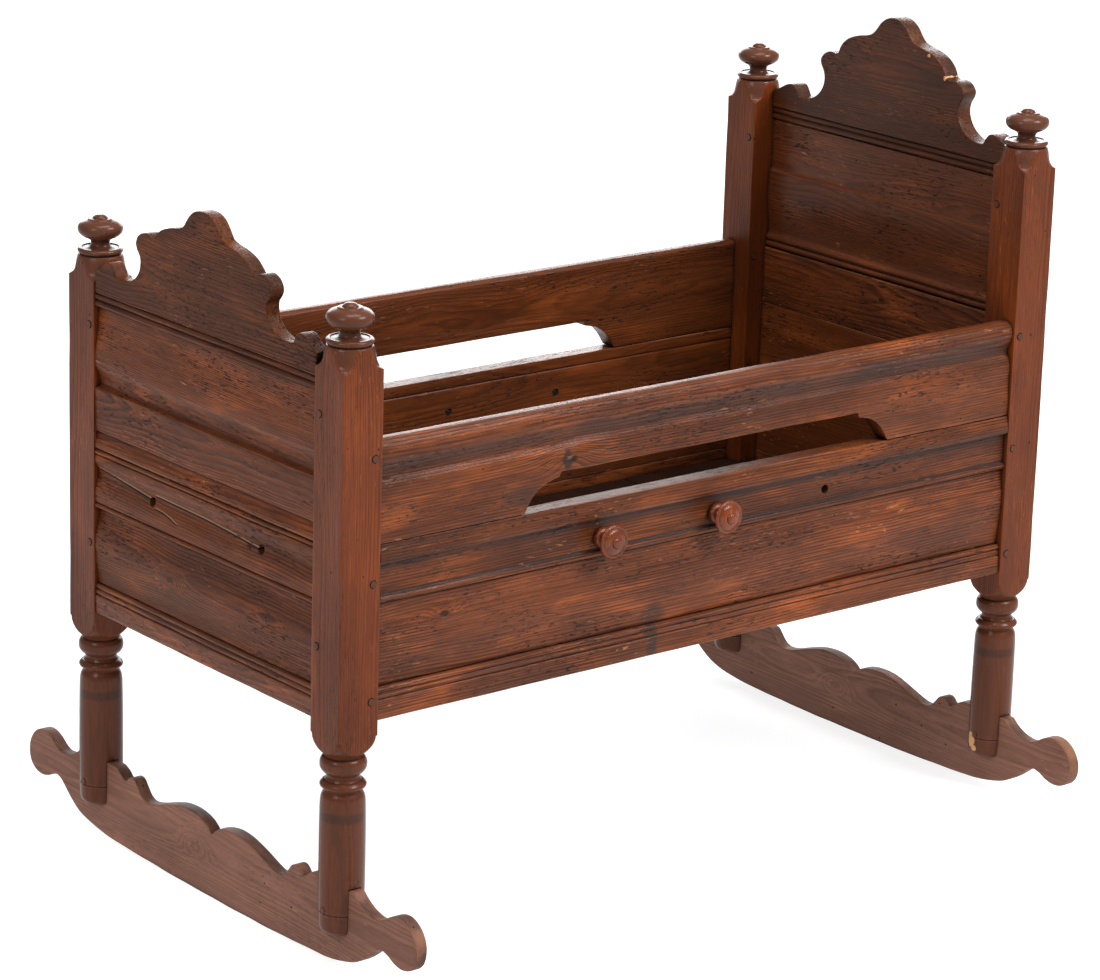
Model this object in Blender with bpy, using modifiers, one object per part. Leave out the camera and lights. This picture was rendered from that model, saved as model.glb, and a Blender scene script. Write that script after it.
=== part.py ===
"""Joined baby cradle on two scrolled rockers, as the separate pieces of timber it is made from.

Units are metres. +X runs from the low foot end to the tall head end, +Z is up, and the origin is
on the floor under the middle of the cradle. Four turned posts take the tenons of moulded rails
and boards, draw-bore pegs lock the tenons, and each pair of legs straddles a rocker.
"""

import math

import bmesh
import bpy
from mathutils import Matrix, Vector

MM = 0.001
GAP = 0.3 * MM

# Posts
POST_SIDE = 50 * MM
SPAN_X = 946 * MM
SPAN_Y = 459 * MM
SQUARE_BOTTOM = 258 * MM
FOOT_SQUARE_TOP = 651 * MM
HEAD_SQUARE_TOP = 750 * MM
LEG_END = 41 * MM
TURNED_SEGMENTS = 20

# Rockers
ROCKER_THICKNESS = 15 * MM
ROCKER_TOP_AT_LEG = 93.5 * MM
ROCKER_PEG_HEIGHT = 67 * MM

# Heights of the joints between the boards
BOARDS_BOTTOM = 273 * MM
PANEL_BOTTOM = 308 * MM
SIDE_PANEL_TOP = 398 * MM
END_PANEL_TOP = 394 * MM
MID_RAIL_TOP = 463 * MM
SIDE_TOP = 573 * MM
FOOT_CREST_BOTTOM = 621 * MM
HEAD_RISE = 104 * MM

# Depths behind the outer face of the post: inner face of each wall, and the tongues and tenons
INNER_DEPTH = {"front": 25 * MM, "back": 25 * MM, "foot": 20 * MM, "head": 24 * MM}
CORE_NEAR = 10 * MM
CORE_FAR = 16 * MM
TONGUE_HEIGHT = 4 * MM

# Joints in the posts
TENON_LENGTH = 28 * MM
TENON_SHOULDER = 5 * MM
PANEL_TONGUE_LENGTH = 9 * MM
MORTISE_EXTRA = 1 * MM
PEG_RADIUS = 4 * MM
PEG_SIDES = 8
PEG_PROUD = 0.8 * MM
PEG_BORE_RUNOUT = 5 * MM
PEG_INSET = 9 * MM
SIDE_PEG_HEIGHTS = {"low": 296 * MM, "middle": 423 * MM, "high": 556 * MM}
END_PEG_LOW = 353 * MM
END_PEG_HIGH = 600 * MM

# Lacing slots, holes and knobs
SLOT_HALF_TOP = 211 * MM
SLOT_HALF_BOTTOM = 259 * MM
SLOT_TOP = 502 * MM
LACING_HOLE_RADIUS = 5.3 * MM
LACING_HEIGHT = 420 * MM
LACING_STATIONS = (-152 * MM, 9 * MM, 170 * MM)
FOOT_HOLE_STATIONS = (-108 * MM, 96 * MM)
FOOT_HOLE_HEIGHT = 428 * MM
KNOBS = {"knob_left": LACING_STATIONS[0], "knob_middle": LACING_STATIONS[1]}
KNOB_SHOULDER_DEPTH = 6.5 * MM
KNOB_TENON_LENGTH = 17 * MM
HOLE_SEGMENTS = 16

# Bottom boards and the ledgers that carry them
LEDGER_BOTTOM = 274 * MM
LEDGER_WIDTH = 20 * MM
LEDGER_HEIGHT = 10 * MM
FLOOR_THICKNESS = 10 * MM
FLOOR_BOARDS = 5
FLOOR_HALF_LENGTH = 471 * MM
FLOOR_HALF_WIDTH = 228.5 * MM
FLOOR_BOARD_GAP = 1.5 * MM
NOTCH_CLEARANCE = 1 * MM

# Where the faces of the posts lie
HALF_POST = POST_SIDE / 2
OUTER_X = SPAN_X / 2 + HALF_POST
OUTER_Y = SPAN_Y / 2 + HALF_POST
INNER_X = SPAN_X / 2 - HALF_POST
INNER_Y = SPAN_Y / 2 - HALF_POST

# The four walls: outward normal, distance of the post face, distance between the posts
WALLS = {
    "front": (Vector((0, -1, 0)), OUTER_Y, INNER_X),
    "back": (Vector((0, 1, 0)), OUTER_Y, INNER_X),
    "foot": (Vector((-1, 0, 0)), OUTER_X, INNER_Y),
    "head": (Vector((1, 0, 0)), OUTER_X, INNER_Y),
}

SMOOTH_ANGLE = math.radians(32)
UP = Vector((0, 0, 1))


# ---------------------------------------------------------------- scene and materials


def clear_scene():
    for obj in list(bpy.data.objects):
        bpy.data.objects.remove(obj, do_unlink=True)


def new_collection(name):
    collection = bpy.data.collections.new(name)
    bpy.context.scene.collection.children.link(collection)
    return collection


def wood(name, colour, roughness):
    material = bpy.data.materials.new(name)
    material.use_nodes = True
    shader = material.node_tree.nodes["Principled BSDF"]
    shader.inputs["Base Color"].default_value = (*colour, 1.0)
    shader.inputs["Roughness"].default_value = roughness
    shader.inputs["Metallic"].default_value = 0.0
    return material


# ---------------------------------------------------------------- mesh helpers


def clean(mesh):
    """Weld the mesh, merge coplanar faces and turn every face outwards."""
    bm = bmesh.new()
    bm.from_mesh(mesh)
    bmesh.ops.remove_doubles(bm, verts=bm.verts, dist=0.002 * MM)
    bmesh.ops.dissolve_limit(bm, angle_limit=math.radians(0.05), verts=bm.verts, edges=bm.edges)
    bmesh.ops.recalc_face_normals(bm, faces=bm.faces)
    bm.to_mesh(mesh)
    bm.free()


def bake(obj):
    """Replace the object's data with its evaluated mesh and drop its modifiers."""
    bpy.context.view_layer.update()
    graph = bpy.context.evaluated_depsgraph_get()
    mesh = bpy.data.meshes.new_from_object(obj.evaluated_get(graph))
    baked = bpy.data.objects.new(obj.name, mesh)
    baked.matrix_world = obj.matrix_world.copy()
    for collection in obj.users_collection:
        collection.objects.link(baked)
    bpy.data.objects.remove(obj, do_unlink=True)
    mesh.transform(baked.matrix_world)
    baked.matrix_world = Matrix.Identity(4)
    clean(mesh)
    return baked


def boolean(obj, tool, operation):
    """Apply one exact Boolean and remove its tool."""
    modifier = obj.modifiers.new(operation.lower(), "BOOLEAN")
    modifier.operation = operation
    modifier.solver = "EXACT"
    modifier.object = tool
    baked = bake(obj)
    bpy.data.objects.remove(tool, do_unlink=True)
    return baked


def box(low, high):
    """A closed box between two corners, as an object in the tools collection."""
    bm = bmesh.new()
    size = Vector(high) - Vector(low)
    middle = (Vector(high) + Vector(low)) / 2
    placed = Matrix.Translation(middle) @ Matrix.Diagonal((*size, 1))
    bmesh.ops.create_cube(bm, size=1, matrix=placed)
    return tool_object("box", bm)


def rod(start, end, radius, sides, end_radius=None):
    """A closed cylinder or cone between two points."""
    start, end = Vector(start), Vector(end)
    bm = bmesh.new()
    turn = (end - start).to_track_quat("Z", "Y").to_matrix().to_4x4()
    placed = Matrix.Translation((start + end) / 2) @ turn
    last = radius if end_radius is None else end_radius
    bmesh.ops.create_cone(
        bm, cap_ends=True, segments=sides, radius1=radius, radius2=last,
        depth=(end - start).length, matrix=placed,
    )
    return tool_object("rod", bm)


def tool_object(name, bm):
    mesh = bpy.data.meshes.new(name)
    bm.to_mesh(mesh)
    bm.free()
    obj = bpy.data.objects.new(name, mesh)
    tools.objects.link(obj)
    return obj


def prism(points, half_length, turn):
    """Extrude a closed outline both ways along local Z, then turn it into place."""
    bm = bmesh.new()
    base = bm.faces.new([bm.verts.new((x, y, -half_length)) for x, y in points])
    swept = bmesh.ops.extrude_face_region(bm, geom=[base])["geom"]
    moved = [item for item in swept if isinstance(item, bmesh.types.BMVert)]
    bmesh.ops.translate(bm, verts=moved, vec=(0, 0, 2 * half_length))
    bmesh.ops.transform(bm, matrix=turn, verts=bm.verts)
    bmesh.ops.recalc_face_normals(bm, faces=bm.faces)
    return tool_object("prism", bm)


def lathe(profile, place):
    """Turn a profile of (radius, height), listed from top to bottom, about its own axis."""
    bm = bmesh.new()
    verts = [bm.verts.new((radius, 0, height)) for radius, height in profile]
    for upper, lower in zip(verts, verts[1:]):
        bm.edges.new((upper, lower))
    obj = tool_object("turned", bm)
    screw = obj.modifiers.new("screw", "SCREW")
    screw.steps = TURNED_SEGMENTS
    screw.render_steps = TURNED_SEGMENTS
    screw.use_merge_vertices = True
    screw.merge_threshold = 0.01 * MM
    obj.matrix_world = place
    return bake(obj)


def wall_turn(normal):
    """Local X runs inwards from the wall's outer face, local Y is up, local Z runs along it."""
    inward = -normal
    along = inward.cross(UP)
    return Matrix((inward, UP, along)).transposed().to_4x4()


def finish(obj, name, material):
    """Name the piece, give it its material and move it into the cradle's collection."""
    obj.name = name
    obj.data.name = name
    obj.data.materials.clear()
    obj.data.materials.append(material)
    obj.data.shade_smooth()
    obj.data.set_sharp_from_angle(angle=SMOOTH_ANGLE)
    tools.objects.unlink(obj)
    cradle.objects.link(obj)
    return obj


# ---------------------------------------------------------------- outlines


def ease(start, end, steps):
    """Points after start on a half cosine wave to end, where both are (depth, height)."""
    points = []
    for step in range(1, steps + 1):
        t = step / steps
        swing = (1 - math.cos(math.pi * t)) / 2
        depth = start[0] + (end[0] - start[0]) * swing
        points.append((depth, start[1] + (end[1] - start[1]) * t))
    return points


def waves(keys, steps=4):
    """A smooth wave through its crests and hollows."""
    points = [keys[0]]
    for start, end in zip(keys, keys[1:]):
        points += ease(start, end, steps)
    return points


def reed(bottom, top, depth, sink, steps=4):
    """A half-round bead between two quirks, its crest at depth and its feet sink deeper."""
    points = []
    for step in range(steps + 1):
        angle = math.pi * step / steps
        height = (bottom + top) / 2 - math.cos(angle) * (top - bottom) / 2
        points.append((depth + sink * (1 - math.sin(angle)), height))
    return points


def smooth(points, steps=3):
    """Catmull-Rom curve through points. A point marked as a cusp keeps its corner."""
    rounded = []
    last = len(points) - 1
    for index in range(last):
        p1, p2 = points[index], points[index + 1]
        p0 = p1 if index == 0 or p1[2:] else points[index - 1]
        p3 = p2 if index + 1 == last or p2[2:] else points[index + 2]
        for step in range(steps):
            t = step / steps
            rounded.append(tuple(catmull_rom(p0[k], p1[k], p2[k], p3[k], t) for k in (0, 1)))
    rounded.append(points[last][:2])
    return rounded


def catmull_rom(a, b, c, d, t):
    return 0.5 * (2 * b + (c - a) * t + (2 * a - 5 * b + 4 * c - d) * t**2
                  + (3 * b - a - 3 * c + d) * t**3)


def in_millimetres(points):
    return [(x * MM, y * MM) for x, y in points]


def both_halves(half):
    """Mirror an outline that starts and ends on the axis into a closed one."""
    mirrored = [(-x, y) for x, y in reversed(half[1:-1])]
    return half + mirrored


def edge_joint(height, joint, upward):
    """Points across a board's edge, from its outer to its inner face, with a tongue or groove."""
    if joint == "plain":
        return []
    slack = GAP if joint == "groove" else 0
    reach = TONGUE_HEIGHT + slack
    inset = height - reach * upward if joint == "groove" else height + reach * upward
    near, far = CORE_NEAR - slack, CORE_FAR + slack
    return [(near, height), (near, inset), (far, inset), (far, height)]


def section(outer, inner, lower_joint="plain", upper_joint="plain"):
    """Closed cross-section of a board, as (depth behind the post's face, height)."""
    bottom, top = outer[0][1], outer[-1][1]
    over = edge_joint(top, upper_joint, 1)
    under = edge_joint(bottom, lower_joint, -1)
    return outer + over + inner + list(reversed(under))


# ---------------------------------------------------------------- posts


def post_profile(square_top):
    """The whole turning, (radius, height) from the finial down to the end of the leg."""
    beyond_square = HALF_POST * math.sqrt(2) + 1 * MM
    finial = [
        (0, 65), (5, 64.4), (8.2, 61.6), (12.6, 60.6), (13.6, 59), (19, 57.6),
        (23.2, 54.5), (24.9, 50), (23.6, 45.2), (19, 41), (12.6, 38.4), (10.3, 35.6),
        (12.2, 31.6), (18, 29.2), (23, 27.8), (24.4, 26), (23.6, 24),
        (22.9, 23), (24.8, 21.4), (24.8, 19), (23.8, 18), (26.6, 16.4), (30.2, 12),
        (32.8, 6), (34.2, 0.4),
    ]
    leg = [
        (33.4, -0.4), (32.8, -5), (30.8, -10), (27, -15), (22.6, -19.4), (20.4, -23.4),
        (22.8, -25.2), (24.6, -29), (24.6, -34.6), (22.2, -39), (18.4, -42.4),
        (17.8, -46), (20, -50.4), (24.4, -54.6), (24, -56.6), (20.4, -60),
        (20, -61.8), (22.4, -66), (24, -74), (24.4, -110),
    ]
    profile = [(radius * MM, square_top + height * MM) for radius, height in finial]
    profile.append((beyond_square, square_top))
    profile.append((beyond_square, SQUARE_BOTTOM))
    profile += [(radius * MM, SQUARE_BOTTOM + height * MM) for radius, height in leg]
    profile += [(23.8 * MM, LEG_END + 4 * MM), (20.4 * MM, LEG_END), (0, LEG_END)]
    return profile


def mortise(wall, side, bottom, top, length, face_gap=GAP):
    """A tool for the mortise that a tenon of a wall's board enters, at one end of the wall."""
    normal, outer, inner = WALLS[wall]
    along = Vector((abs(normal.y), abs(normal.x), 0)) * side
    start = normal * (outer - CORE_NEAR + face_gap) + along * (inner - 1 * MM)
    end = normal * (outer - CORE_FAR - face_gap) + along * (inner + length + MORTISE_EXTRA)
    start.z = bottom - face_gap
    end.z = top + face_gap
    low = [min(a, b) for a, b in zip(start, end)]
    high = [max(a, b) for a, b in zip(start, end)]
    return box(low, high)


def post(end, side, square_top):
    """One post: end is -1 at the foot or 1 at the head, side is -1 in front or 1 behind."""
    centre = Vector((end * SPAN_X / 2, side * SPAN_Y / 2, 0))
    obj = lathe(post_profile(square_top), Matrix.Translation(centre))
    half = Vector((HALF_POST, HALF_POST, 0))
    square = box(centre - half, centre + half + UP)
    obj = boolean(obj, square, "INTERSECT")

    across = ROCKER_THICKNESS / 2 + GAP
    slot_low = centre + Vector((-across, -POST_SIDE, 0))
    slot_high = centre + Vector((across, POST_SIDE, ROCKER_TOP_AT_LEG + GAP))
    obj = boolean(obj, box(slot_low, slot_high), "DIFFERENCE")

    side_wall = "front" if side < 0 else "back"
    end_wall = "foot" if end < 0 else "head"
    for bottom, top, length in tenons_of_side():
        obj = boolean(obj, mortise(side_wall, end, bottom, top, length), "DIFFERENCE")
    for bottom, top, length in tenons_of_end(end_wall):
        obj = boolean(obj, mortise(end_wall, side, bottom, top, length), "DIFFERENCE")
    for start, stop in peg_lines(end, side):
        beyond = (stop - start).normalized() * PEG_BORE_RUNOUT
        hole = rod(start - beyond, stop + beyond, PEG_RADIUS + GAP, PEG_SIDES)
        obj = boolean(obj, hole, "DIFFERENCE")
    return obj


# ---------------------------------------------------------------- tenons and pegs


def tenon_span(bottom, top):
    return bottom + TENON_SHOULDER, top - TENON_SHOULDER


def tenons_of_side():
    """(bottom, top, length) of each tenon at one end of a long side."""
    return [
        (*tenon_span(BOARDS_BOTTOM, PANEL_BOTTOM), TENON_LENGTH),
        (*tenon_span(PANEL_BOTTOM, SIDE_PANEL_TOP), PANEL_TONGUE_LENGTH),
        (*tenon_span(SIDE_PANEL_TOP, MID_RAIL_TOP), TENON_LENGTH),
        (*tenon_span(MID_RAIL_TOP, SIDE_TOP), TENON_LENGTH),
    ]


def end_levels(wall):
    """Heights of the joints of an end wall, from the bottom edge to the crest rail."""
    rise = HEAD_RISE if wall == "head" else 0
    return [
        BOARDS_BOTTOM, PANEL_BOTTOM, END_PANEL_TOP + rise, MID_RAIL_TOP + rise,
        FOOT_CREST_BOTTOM + rise,
    ]


def crest_tenon_top(wall):
    return (HEAD_SQUARE_TOP if wall == "head" else FOOT_SQUARE_TOP) - 8 * MM


def tenons_of_end(wall):
    levels = end_levels(wall)
    spans = [tenon_span(low, high) for low, high in zip(levels, levels[1:])]
    spans.append((levels[-1] + TENON_SHOULDER, crest_tenon_top(wall)))
    return [(low, high, TENON_LENGTH) for low, high in spans]


def peg_lines(end, side):
    """Start and stop of every peg through one post, from the outside of the cradle inwards."""
    lines = [line for _name, line in named_peg_lines(end, side)]
    return lines


def named_peg_lines(end, side):
    centre = Vector((end * SPAN_X / 2, side * SPAN_Y / 2, 0))
    reach = HALF_POST + PEG_PROUD
    lines = []
    for name, height in SIDE_PEG_HEIGHTS.items():
        middle = Vector((end * (INNER_X + PEG_INSET), centre.y, height))
        across = Vector((0, side * reach, 0))
        lines.append((f"side_{name}", (middle + across, middle - across)))
    rise = HEAD_RISE if end > 0 else 0
    for name, height in {"low": END_PEG_LOW, "high": END_PEG_HIGH + rise}.items():
        middle = Vector((centre.x, side * (INNER_Y + PEG_INSET), height))
        across = Vector((end * reach, 0, 0))
        lines.append((f"end_{name}", (middle + across, middle - across)))
    middle = Vector((centre.x, centre.y, ROCKER_PEG_HEIGHT))
    across = Vector((end * (24 * MM + PEG_PROUD), 0, 0))
    lines.append(("rocker", (middle + across, middle - across)))
    return lines


def make_pegs(end, side, label, material):
    for name, (start, stop) in named_peg_lines(end, side):
        obj = rod(start, stop, PEG_RADIUS, PEG_SIDES, PEG_RADIUS * 0.94)
        clean(obj.data)
        finish(obj, f"peg_{label}_{name}", material)


# ---------------------------------------------------------------- boards


def cut_peg_holes(obj, wall):
    """Bore the tenons of a wall's board where pegs cross them."""
    normal, _outer, _inner = WALLS[wall]
    for end in (-1, 1):
        for side in (-1, 1):
            if Vector((end, side, 0)).dot(normal) < 0:
                continue
            for name, (start, stop) in named_peg_lines(end, side):
                crosses = name.startswith("side" if normal.y else "end")
                if crosses and reaches(obj, start.z):
                    hole = rod(start, stop, PEG_RADIUS + GAP, PEG_SIDES)
                    obj = boolean(obj, hole, "DIFFERENCE")
    return obj


def reaches(obj, height):
    heights = [vertex.co.z for vertex in obj.data.vertices]
    return min(heights) < height < max(heights)


def board(wall, outline, tenon, material, name, cuts=()):
    """A moulded board with a tenon at each end, bored for its pegs and cut by its tools."""
    normal, outer, inner = WALLS[wall]
    turn = Matrix.Translation(normal * outer) @ wall_turn(normal)
    obj = prism(outline, inner - GAP, turn)
    bottom, top, length = tenon
    along = Vector((abs(normal.y), abs(normal.x), 0)) * (inner + length)
    corner_a = normal * (outer - CORE_NEAR) + along
    corner_b = normal * (outer - CORE_FAR) - along
    corner_a.z, corner_b.z = bottom, top
    low = [min(a, b) for a, b in zip(corner_a, corner_b)]
    high = [max(a, b) for a, b in zip(corner_a, corner_b)]
    obj = boolean(obj, box(low, high), "UNION")
    for tool, operation in cuts:
        obj = boolean(obj, tool, operation)
    obj = cut_peg_holes(obj, wall)
    return finish(obj, name, material)


def bottom_rail_face(depth):
    """Flat face with two reeds along its upper edge."""
    base, top = BOARDS_BOTTOM, PANEL_BOTTOM
    face = [(depth, base), (depth, top - 14 * MM)]
    face += reed(top - 13 * MM, top - 7 * MM, depth + 0.3 * MM, 2 * MM)
    face += reed(top - 6.4 * MM, top - 0.6 * MM, depth + 0.5 * MM, 2 * MM)
    face.append((depth + 3 * MM, top))
    return face


def bowed_face(bottom, top, edge_low, crown, edge_high):
    """A face that swells from recessed edges to a crown just above its middle."""
    low, high = bottom + GAP, top - GAP
    middle = low + 0.55 * (high - low)
    return waves([(edge_low, low), (crown, middle), (edge_high, high)], steps=5)


def side_mid_face():
    """Bead at the foot, plain band with the lacing holes, and a rounded ledge on top."""
    base, top = SIDE_PANEL_TOP, MID_RAIL_TOP
    face = [(6 * MM, base)]
    face += reed(base + 0.6 * MM, base + 8 * MM, 2.6 * MM, 3 * MM)
    face.append((KNOB_SHOULDER_DEPTH, base + 9 * MM))
    face.append((KNOB_SHOULDER_DEPTH, top - 21.5 * MM))
    face.append((1.6 * MM, top - 20.6 * MM))
    face += waves([(0.6 * MM, top - 19 * MM), (0.4 * MM, top - 15 * MM), (2.4 * MM, top)], steps=2)
    return face


def side_mid_inner(depth):
    """Plain inner face with one scratched line near the top edge."""
    base, top = SIDE_PANEL_TOP, MID_RAIL_TOP
    line = top - 14 * MM
    return [
        (depth, top), (depth, line + 1.2 * MM), (depth - 1.4 * MM, line),
        (depth, line - 1.2 * MM), (depth, base),
    ]


def side_top_face():
    """Flat lower part, a cove, a bulge and a rounded top edge."""
    base, top = MID_RAIL_TOP + GAP, SIDE_TOP
    face = [(3 * MM, base), (3.2 * MM, top - 49 * MM)]
    face += waves([(3.8 * MM, top - 47 * MM), (8 * MM, top - 42 * MM), (2.6 * MM, top - 16 * MM)])
    for step in range(1, 5):
        angle = math.pi / 2 * step / 4
        depth = 13.6 * MM - 11 * MM * math.cos(angle)
        face.append((depth, top - 16 * MM + 16 * MM * math.sin(angle)))
    return face


def side_top_inner(depth):
    return [
        (depth - 4 * MM, SIDE_TOP), (depth, SIDE_TOP - 4 * MM), (depth, MID_RAIL_TOP + GAP),
    ]


def end_mid_face(bottom, top):
    """A bead along each edge and a soft hollow above the middle."""
    face = [(4 * MM, bottom)]
    face += reed(bottom + 0.6 * MM, bottom + 6.4 * MM, 1 * MM, 3 * MM)
    face += waves([(1.8 * MM, bottom + 8 * MM), (1.6 * MM, bottom + 18 * MM),
                   (6.4 * MM, top - 27 * MM), (1.8 * MM, top - 15 * MM)], steps=3)
    face.append((1.8 * MM, top - 8.4 * MM))
    face += reed(top - 7.4 * MM, top - 1.4 * MM, 1 * MM, 3 * MM)
    face.append((4 * MM, top))
    return face


def end_upper_face(bottom, top):
    """Flared foot, flat field, sharp arris, cove, bulge and a long slope to the crest rail."""
    face = [(1.4 * MM, bottom + GAP), (1.6 * MM, bottom + 4 * MM)]
    face += ease((1.6 * MM, bottom + 4 * MM), (5 * MM, bottom + 16 * MM), 3)
    face += [(6.4 * MM, bottom + 18 * MM), (2.4 * MM, bottom + 20 * MM)]
    face += [(1.6 * MM, bottom + 68 * MM), (6.6 * MM, bottom + 70 * MM)]
    face += waves([(8.4 * MM, bottom + 72 * MM), (8.2 * MM, bottom + 77 * MM),
                   (1.6 * MM, bottom + 97 * MM), (8 * MM, top - GAP)])
    return face


def crest_face(bottom, top):
    """Two reeds along the lower edge and a flat field above them."""
    face = [(4 * MM, bottom)]
    face += reed(bottom + 1 * MM, bottom + 8 * MM, 1 * MM, 2.6 * MM)
    face += reed(bottom + 8.8 * MM, bottom + 15.8 * MM, 1 * MM, 2.6 * MM)
    face += [(1.6 * MM, bottom + 18 * MM), (1.6 * MM, top)]
    return face


def flat_inner(face, depth):
    return [(depth, face[-1][1]), (depth, face[0][1])]


def mirrored_to_inner(face, depth):
    """The same mouldings on the inner face, listed from the top down."""
    return [(depth - sunk, height) for sunk, height in reversed(face)]


def head_upper_inner(bottom, top, depth):
    """Recessed upper field, a step out, and a soft bow down to two reeds."""
    down = [(depth - 5 * MM, top - GAP), (depth - 5 * MM, bottom + 98 * MM)]
    down.append((depth - 1.4 * MM, bottom + 96 * MM))
    down += reversed(waves([(depth - 5 * MM, bottom + 18 * MM),
                            (depth - 0.4 * MM, bottom + 80 * MM)]))
    reeds = reed(bottom + 1 * MM, bottom + 8 * MM, 1 * MM, 2.4 * MM)
    reeds += reed(bottom + 9 * MM, bottom + 16 * MM, 1 * MM, 2.4 * MM)
    down += mirrored_to_inner(reeds, depth)
    down.append((depth - 3.4 * MM, bottom + GAP))
    return down


def slot_tool(wall):
    """A tool for the lacing slot: straight in the middle with a small ogee at each end."""
    normal, outer, _inner = WALLS[wall]
    top, bottom = SLOT_TOP, MID_RAIL_TOP - 5 * MM
    width = SLOT_HALF_BOTTOM - SLOT_HALF_TOP
    drop = SLOT_TOP - MID_RAIL_TOP
    ogee = [(0.0, 0.0, "cusp"), (0.1, 0.16, "cusp"), (0.42, 0.24), (0.74, 0.5), (1.0, 1.0, "cusp")]
    right = [(0, top, "cusp")]
    right += [(SLOT_HALF_TOP + across * width, top - down * drop, *cusp)
              for across, down, *cusp in ogee]
    half = smooth(right, steps=3) + [(SLOT_HALF_BOTTOM, bottom), (0, bottom)]
    turn = Matrix.Translation(normal * (outer - HALF_POST / 2)) @ slot_turn(normal)
    return prism(both_halves(half), HALF_POST, turn)


def slot_turn(normal):
    """Local X runs along the wall, local Y is up and local Z is the wall's normal."""
    return Matrix((UP.cross(normal), UP, normal)).transposed().to_4x4()


def hole_tool(wall, station, height):
    normal, outer, _inner = WALLS[wall]
    along = Vector((abs(normal.y), abs(normal.x), 0)) * station
    middle = normal * (outer - HALF_POST / 2) + along
    middle.z = height
    return rod(middle + normal * POST_SIDE, middle - normal * POST_SIDE, LACING_HOLE_RADIUS,
               HOLE_SEGMENTS)


def make_side(wall, material):
    """The four boards of one long side."""
    low, panel, middle, high = tenons_of_side()
    depth = INNER_DEPTH[wall]
    face = bottom_rail_face(3 * MM)
    outline = section(face, flat_inner(face, depth), upper_joint="groove")
    board(wall, outline, low, material, f"{wall}_bottom_rail")
    face = bowed_face(PANEL_BOTTOM, SIDE_PANEL_TOP, 9 * MM, 4.2 * MM, 7.6 * MM)
    outline = section(face, flat_inner(face, depth), "tongue", "tongue")
    board(wall, outline, panel, material, f"{wall}_lower_panel")
    holes = [(hole_tool(wall, station, LACING_HEIGHT), "DIFFERENCE")
             for station in LACING_STATIONS]
    outline = section(side_mid_face(), side_mid_inner(depth), "groove")
    board(wall, outline, middle, material, f"{wall}_mid_rail", holes)
    outline = section(side_top_face(), side_top_inner(depth))
    board(wall, outline, high, material, f"{wall}_top_rail", [(slot_tool(wall), "DIFFERENCE")])


# ---------------------------------------------------------------- scrolled boards


def foot_crest_half():
    """Right half of the foot board's crest, (distance from the middle, height) in millimetres."""
    return [
        (0, 766, 1), (11, 764.8), (21, 760), (29, 752), (36, 743, 1), (47, 739.4), (62, 736.6),
        (77, 731.4), (88, 723.4), (94, 717.4, 1), (103, 721.6), (112, 721.4), (121, 716.6),
        (125.4, 708.4), (123, 700.8), (117.4, 694), (117, 684.6), (120.4, 676), (129, 667.6),
        (141, 662.8), (154, 661.4), (164, 663.4, 1), (168, 670.6), (175, 675.4), (184, 674),
        (191, 668, 1), (204.2, 661),
    ]


def head_crest_half():
    """Right half of the headboard's crest, (distance from the middle, height) in millimetres."""
    return [
        (0, 881.4, 1), (11, 879.4), (21, 873), (28, 864.4, 1), (35, 857.6), (45, 854),
        (60, 851), (76, 845), (87, 835.6), (92, 825.4, 1), (98, 823.4), (107, 824.4),
        (116, 821), (121.8, 814), (121, 807), (116, 799), (114.4, 790), (117, 780), (124, 770.6),
        (135, 763.4), (147, 760), (157, 760.4, 1), (162, 768.4), (168, 773.4), (178, 773),
        (190, 767, 1), (204.2, 760),
    ]


def scroll_tool(half, bottom, wall):
    """A solid of a crest's outline, thicker than the board it trims."""
    normal, outer, _inner = WALLS[wall]
    upper = in_millimetres(smooth(half))
    reach = INNER_Y + TENON_LENGTH + 10 * MM
    shoulder = crest_tenon_top(wall) + 1 * MM
    below = bottom - 10 * MM
    outline = upper + [(upper[-1][0], shoulder), (reach, shoulder), (reach, below), (0, below)]
    turn = Matrix.Translation(normal * (outer - HALF_POST / 2)) @ slot_turn(normal)
    return prism(both_halves(outline), HALF_POST, turn)


def make_end(wall, crest_half, material):
    """The five boards of one end, whose crest rail is sawn to a scroll."""
    levels = end_levels(wall)
    depth = INNER_DEPTH[wall]
    low, panel, middle, upper, crest = tenons_of_end(wall)
    face = bottom_rail_face(1.6 * MM)
    outline = section(face, flat_inner(face, depth), upper_joint="groove")
    board(wall, outline, low, material, f"{wall}_bottom_rail")
    face = bowed_face(levels[1], levels[2], 5 * MM, 1.6 * MM, 8 * MM)
    outline = section(face, flat_inner(face, depth), "tongue", "tongue")
    board(wall, outline, panel, material, f"{wall}_lower_panel")
    holes = []
    if wall == "foot":
        holes = [(hole_tool(wall, station, FOOT_HOLE_HEIGHT), "DIFFERENCE")
                 for station in FOOT_HOLE_STATIONS]
    face = end_mid_face(levels[2], levels[3])
    outline = section(face, flat_inner(face, depth), "groove", "groove")
    board(wall, outline, middle, material, f"{wall}_mid_rail", holes)
    face = end_upper_face(levels[3], levels[4])
    inner = flat_inner(face, depth - 1.6 * MM)
    if wall == "head":
        inner = head_upper_inner(levels[3], levels[4], depth)
    board(wall, section(face, inner, "tongue", "tongue"), upper, material, f"{wall}_upper_panel")
    face = crest_face(levels[4], crest_half[0][1] * MM + 5 * MM)
    inner = flat_inner(face, depth - 1.6 * MM)
    if wall == "head":
        inner = mirrored_to_inner(face, depth)
    trim = (scroll_tool(crest_half, levels[4], wall), "INTERSECT")
    board(wall, section(face, inner, "groove"), crest, material, f"{wall}_crest_rail", [trim])


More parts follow.
